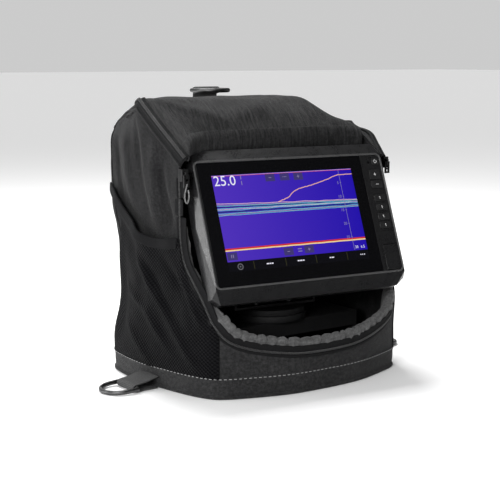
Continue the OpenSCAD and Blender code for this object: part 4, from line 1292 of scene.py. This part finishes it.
def make_screen():
    mats = {
        "field": glow("sonar_field", srgb("2210A8"), low=srgb("4E30B8")),
        "bar": glow("menu_bar", srgb("0A0A0C")),
        "white": glow("screen_white", srgb("E8E6F4")),
        "soft": glow("soft_grey", srgb("8A80A8")),
        "grey": glow("dim_grey", srgb("64646A")),
        "button": glow("soft_button", srgb("3E3670")),
        "divider": glow("divider", srgb("3A3A20")),
        "echo_pink": echo("echo_pink", [(0.3, "6048B0"), (0.42, "C890B8"), (0.52, "E8D0E0"),
                                        (0.62, "C07060"), (0.75, "F0F0E8")]),
        "surface": echo("surface_line", [(0.35, "C04070"), (0.5, "B090E0"), (0.65, "E0E0FF")]),
        "echo_warm": echo("echo_warm", [(0.3, "3A30A0"), (0.42, "70A0C8"), (0.52, "B08080"),
                                        (0.62, "A86090"), (0.75, "E0E0C0")]),
        "echo_cool": echo("echo_cool", [(0.3, "2038B0"), (0.42, "3890C0"), (0.52, "80D0D8"),
                                        (0.62, "70B060"), (0.75, "D0E0A0")]),
        "shade": echo("echo_shade", [(0.3, "1A1060"), (0.7, "2A4090")]),
        "jig": echo("jig_trace", [(0.3, "D8C0E0"), (0.5, "E09080"), (0.65, "F0E0C0")], (200, 500)),
        "bottom_red": echo("bottom_red", [(0.3, "A01828"), (0.6, "E03820"), (0.8, "F08040")]),
        "bottom_pale": echo("bottom_pale", [(0.3, "E8A060"), (0.6, "F8E8A0"), (0.8, "D0A0E0")]),
        "red": glow("bright_red", srgb("C02840")),
    }
    p = FacePrint(0.45)
    u0, u1, v0, v1 = SCREEN
    p.rect(u0, u1, BAR_TOP, v1, "field")
    p.rect(u0, u1, v0, BAR_TOP, "bar")
    p.rect(u0, u1, v1 - 1.5, v1 - 0.8, "red", 0.01)
    p.rect(u0, u1, v1 - 1.0, v1 - 0.4, "surface", 0.02)
    u = np.linspace(u0, u1, 90)
    share = (u - u0) / (u1 - u0)
    wobble = noise_along(u, 14) * 0.5
    for seed, (left, right, half, key) in enumerate(ECHO_LINES):
        height = left + (right - left) * share ** 0.8 + noise_along(u, 18, seed) * 0.7
        p.ribbon(np.stack([u, height], axis=1), half, key, 0.02 if key != "shade" else 0.01)
    jig = curve_through([(-28, 22.2), (-20, 24.6), (-12, 27.5), (-4, 33.5), (6, 37.2), (20, 39.8),
                         (30, 42), (48, 46.6), (60, 50.5), (69, 51.4), (u1, 51.6)], 8)
    jig[:, 1] += noise_along(jig[:, 0], 3, 0, 4) * 0.5
    p.ribbon(jig, 0.55, "jig", 0.03)
    p.ribbon(np.stack([u, -30.4 + 0.4 * wobble], axis=1), 0.9, "bottom_red", 0.02)
    p.ribbon(np.stack([u, -32.2 + 0.5 * wobble], axis=1), 0.75, "bottom_pale", 0.03)
    p.text("25.0", -110, 51.2, 12.6, "white", 0.03, "LEFT")
    p.rect(-73.4, -72.4, 45.5, 50.5, "soft", 0.03)
    p.rect(-73.4, -72.4, 52.5, 57, "soft", 0.03)
    p.rect(65.8, 66.3, BAR_TOP + 0.5, v1 - 1.5, "soft", 0.03)
    for number, v in zip((5, 10, 15, 20, 25), (41, 23.6, 6.3, -11, -28.2)):
        p.rect(65.0, 67.1, v - 0.25, v + 0.25, "soft", 0.03)
        p.text(str(number), 63.4, v, 3.6, "soft", 0.03, "RIGHT")
    p.text("30", 70, -41.5, 3.6, "white", 0.03)
    p.text("6.5", 79, -41.5, 3.6, "white", 0.03)
    for bu, bv in ((-33, 52.7), (-12.6, 52.8), (6.8, 52.5), (-27.5, -39.2), (1.5, -38.6),
                   (-104, -39)):
        p.rect(bu - 6.6, bu + 6.6, bv - 4.6, bv + 4.6, "button", 0.02)
    for bu, bv in ((-33, 52.7), (-27.5, -39.2), (6.8, 52.5), (1.5, -38.6)):
        p.rect(bu - 1.8, bu + 1.8, bv - 0.35, bv + 0.35, "soft", 0.03)
    for bu, bv in ((6.8, 52.5), (1.5, -38.6)):
        p.rect(bu - 0.35, bu + 0.35, bv - 1.8, bv + 1.8, "soft", 0.035)
    for k in (-1, 0, 1):
        p.disc(-12.6 + 2 * k, 52.8, 0.55, "soft", 0.03, 8)
        p.disc(76.5 + 2.7 * k, -51.2, 0.75, "white", 0.03, 10)
        p.rect(-14.4, -8.6, -37.6 - 3 * (k == 0), -36.6 - 3 * (k == 0), "soft", 0.03)
    for k in (-1, 1):
        p.rect(-104 + 1.2 * k - 0.45, -104 + 1.2 * k + 0.45, -41, -37, "soft", 0.03)
    for du in (-77.6, -34, 8.7, 53.6):
        p.rect(du - 0.35, du + 0.35, v0 + 1.2, BAR_TOP - 1.2, "divider", 0.02)
    for mid, widths in ((-56, (3.2, 2.2, 2.6)), (-13, (2.6, 3.4, 2.4)), (31, (2.2, 3.6))):
        left = mid - sum(widths) / 2 - 0.3 * (len(widths) - 1)
        for w in widths:
            p.rect(left, left + w, -52.1, -50.7, "white", 0.03)
            left += w + 0.6
    turn = np.linspace(0, 2 * math.pi, 25)
    ring = np.stack([-96 + 3.3 * np.cos(turn), -51.9 + 3.3 * np.sin(turn)], axis=1)
    p.ribbon(ring, 0.6, "grey", 0.03)
    p.disc(-96, -51.9, 1.0, "grey", 0.03)
    p.make("screen_picture", mats)


KEYS = {"power_button": (124, 66), "zoom_in_button": (119.6, 49.2), "zoom_out_button": (120, 36.2),
        "shortcut_key_1": (119.8, 18.5), "shortcut_key_2": (119.8, 6.4),
        "shortcut_key_3": (119.8, -5.6), "shortcut_key_4": (119.8, -16.9)}


def make_key_icons():
    """A small printed mark on each key, which moves with the key."""
    for key, (u, v) in KEYS.items():
        p = FacePrint(-0.46)
        if key == "power_button":
            turn = np.radians(np.linspace(125, 415, 22))
            arc = np.stack([u + 2.0 * np.cos(turn), v + 2.0 * np.sin(turn)], axis=1)
            p.ribbon(arc, 0.3, "print")
            p.rect(u - 0.3, u + 0.3, v + 0.3, v + 2.9, "print")
        elif key.startswith("zoom"):
            p.rect(u - 1.9, u + 1.9, v - 0.32, v + 0.32, "print")
            if key == "zoom_in_button":
                p.rect(u - 0.32, u + 0.32, v - 1.9, v + 1.9, "print", 0.01)
        else:
            shift = {"1": 0, "2": 0.3, "3": -0.3, "4": 0}[key[-1]]
            p.rect(u - 0.35 + shift, u + 0.35 + shift, v - 1.7, v + 1.7, "print")
            p.shape([(u - 1.3 + shift, v + 0.6), (u - 0.3 + shift, v + 1.9),
                     (u - 0.3 + shift, v + 0.9)], "print")
        p.make(f"{key}_mark", {"print": MAT["print"]}, body=key, slot="key_rubber")


def make_face_rim():
    """Raised bead round the glass and the key panel, in a lighter grey than the housing's plastic:
    a painted highlight along the face's edge.
    """
    half_u, half_v, r = 132.6, 76.0, 7.0
    corner = np.radians(np.linspace(0, 90, 9)[:-1])
    line = []
    for k, (cu, cv) in enumerate(((1, 1), (-1, 1), (-1, -1), (1, -1))):
        for a in corner + k * math.pi / 2:
            line.append((cu * (half_u - r) + r * math.cos(a),
                         cv * (half_v - r) + r * math.sin(a), -0.1))
    path = on_face(line)
    path = np.vstack([path, path[:1]])
    along = tangents(path)
    along[0] = along[-1] = unit(path[1] - path[-2])
    rim = Bundle()
    out = np.broadcast_to(-DEPTH, path.shape)
    rim.sweep(path[:-1], unit(np.cross(along, out))[:-1], out[:-1], oval(1.25, 0.9, 12),
              closed=True)
    rim.make("face_rim", "rim", body="display", slot="housing_plastic")


def make_light_sensor():
    p = FacePrint(0.55)
    p.disc(114, 65, 1.5, "soft")
    p.make("light_sensor_window", {"soft": MAT["glass"]}, slot="screen_glass")


# ---------- Stage ----------
# Black cards that darken reflections: facing, place (or None for off the display), half sizes
BLACK_CARDS = [((0.418, -0.768, 0.485), None, (1.1, 0.8, 1)),
               ((0.54, 0.44, 0.70), None, (1, 1, 1)),
               ((0, 0, 1), (0.05, -0.46, 0.002), (0.5, 0.3, 1))]
CARD_DISTANCE = 1.4
LAMPS = {"key": ((-1.10, -0.71, 0.54), 0.45, 12), "edge": ((-1.15, 0.48, 0.28), 0.4, 4.5),
         "back": ((0.15, 0.85, 1.8), 0.8, 52)}
LAMP_AIM = (0, 0, 0.18)
FLOOR_HALF = 30
FLOOR_GLOW = 0.15
WORLD_LIGHT = 0.6


def make_stage():
    floor = bpy.data.meshes.new("floor")
    half = FLOOR_HALF
    floor.from_pydata([(-half, -half, 0), (half, -half, 0), (half, half, 0), (-half, half, 0)],
                      [], [(0, 1, 2, 3)])
    piece = add_object("floor", floor)
    s = Shader("pale_floor", base_color=(0.93, 0.93, 0.93, 1), roughness=0.7,
               specular_ior_level=0.2, emission_color=(1, 1, 1, 1))
    away = s.node("VectorMath", {0: s.node("TexCoord", out=3)}, out=1, operation="LENGTH")
    glow_share = s.node("MapRange", {0: away, 1: 0.35, 2: 0.8})
    s.set("Emission Strength", s.math("MULTIPLY", glow_share, FLOOR_GLOW))
    floor.materials.append(s.material)

    world = bpy.data.worlds.new("studio")
    bpy.context.scene.world = world
    world.use_nodes = True
    world.node_tree.nodes["Background"].inputs["Color"].default_value = (1, 1, 1, 1)
    world.node_tree.nodes["Background"].inputs["Strength"].default_value = WORLD_LIGHT

    flag = bpy.data.meshes.new("flag")
    flag.from_pydata([(-1, -1, 0), (1, -1, 0), (1, 1, 0), (-1, 1, 0)], [], [(0, 1, 2, 3)])
    s = Shader("black_card", base_color=(0, 0, 0, 1), roughness=1, specular_ior_level=0)
    flag.materials.append(s.material)
    for toward, at, size in BLACK_CARDS:
        toward = Vector(toward).normalized()
        card = add_object("flag", flag)
        card.location = at or Vector(FACE_MID * MM) + toward * CARD_DISTANCE
        card.rotation_euler = toward.to_track_quat("Z", "Y").to_euler()
        card.scale = size
        card.visible_camera = card.visible_diffuse = card.visible_shadow = False

    for name, (at, size, power) in LAMPS.items():
        light = bpy.data.lights.new(name, "AREA")
        light.shape, light.size, light.energy = "DISK", size, power
        lamp = add_object(name, light)
        lamp.location = at
        lamp.rotation_euler = (Vector(at) - Vector(LAMP_AIM)).to_track_quat("Z", "Y").to_euler()
    bpy.context.scene.view_settings.view_transform = "Standard"


pull_cord.data.materials.append(MAT["cord"])
dress_cad_nodes()
make_band()
make_band_stitching()
make_front_panel()
for which in SIDES:
    make_side_panel(which)
    make_pocket(which)
make_back_panel()
make_hood()
make_hood_hem()
make_bindings()
make_lining()
make_mouth_zip()
make_hood_zips()
make_seams()
make_webbings()
make_screen()
make_key_icons()
make_light_sensor()
make_face_rim()
make_stage()
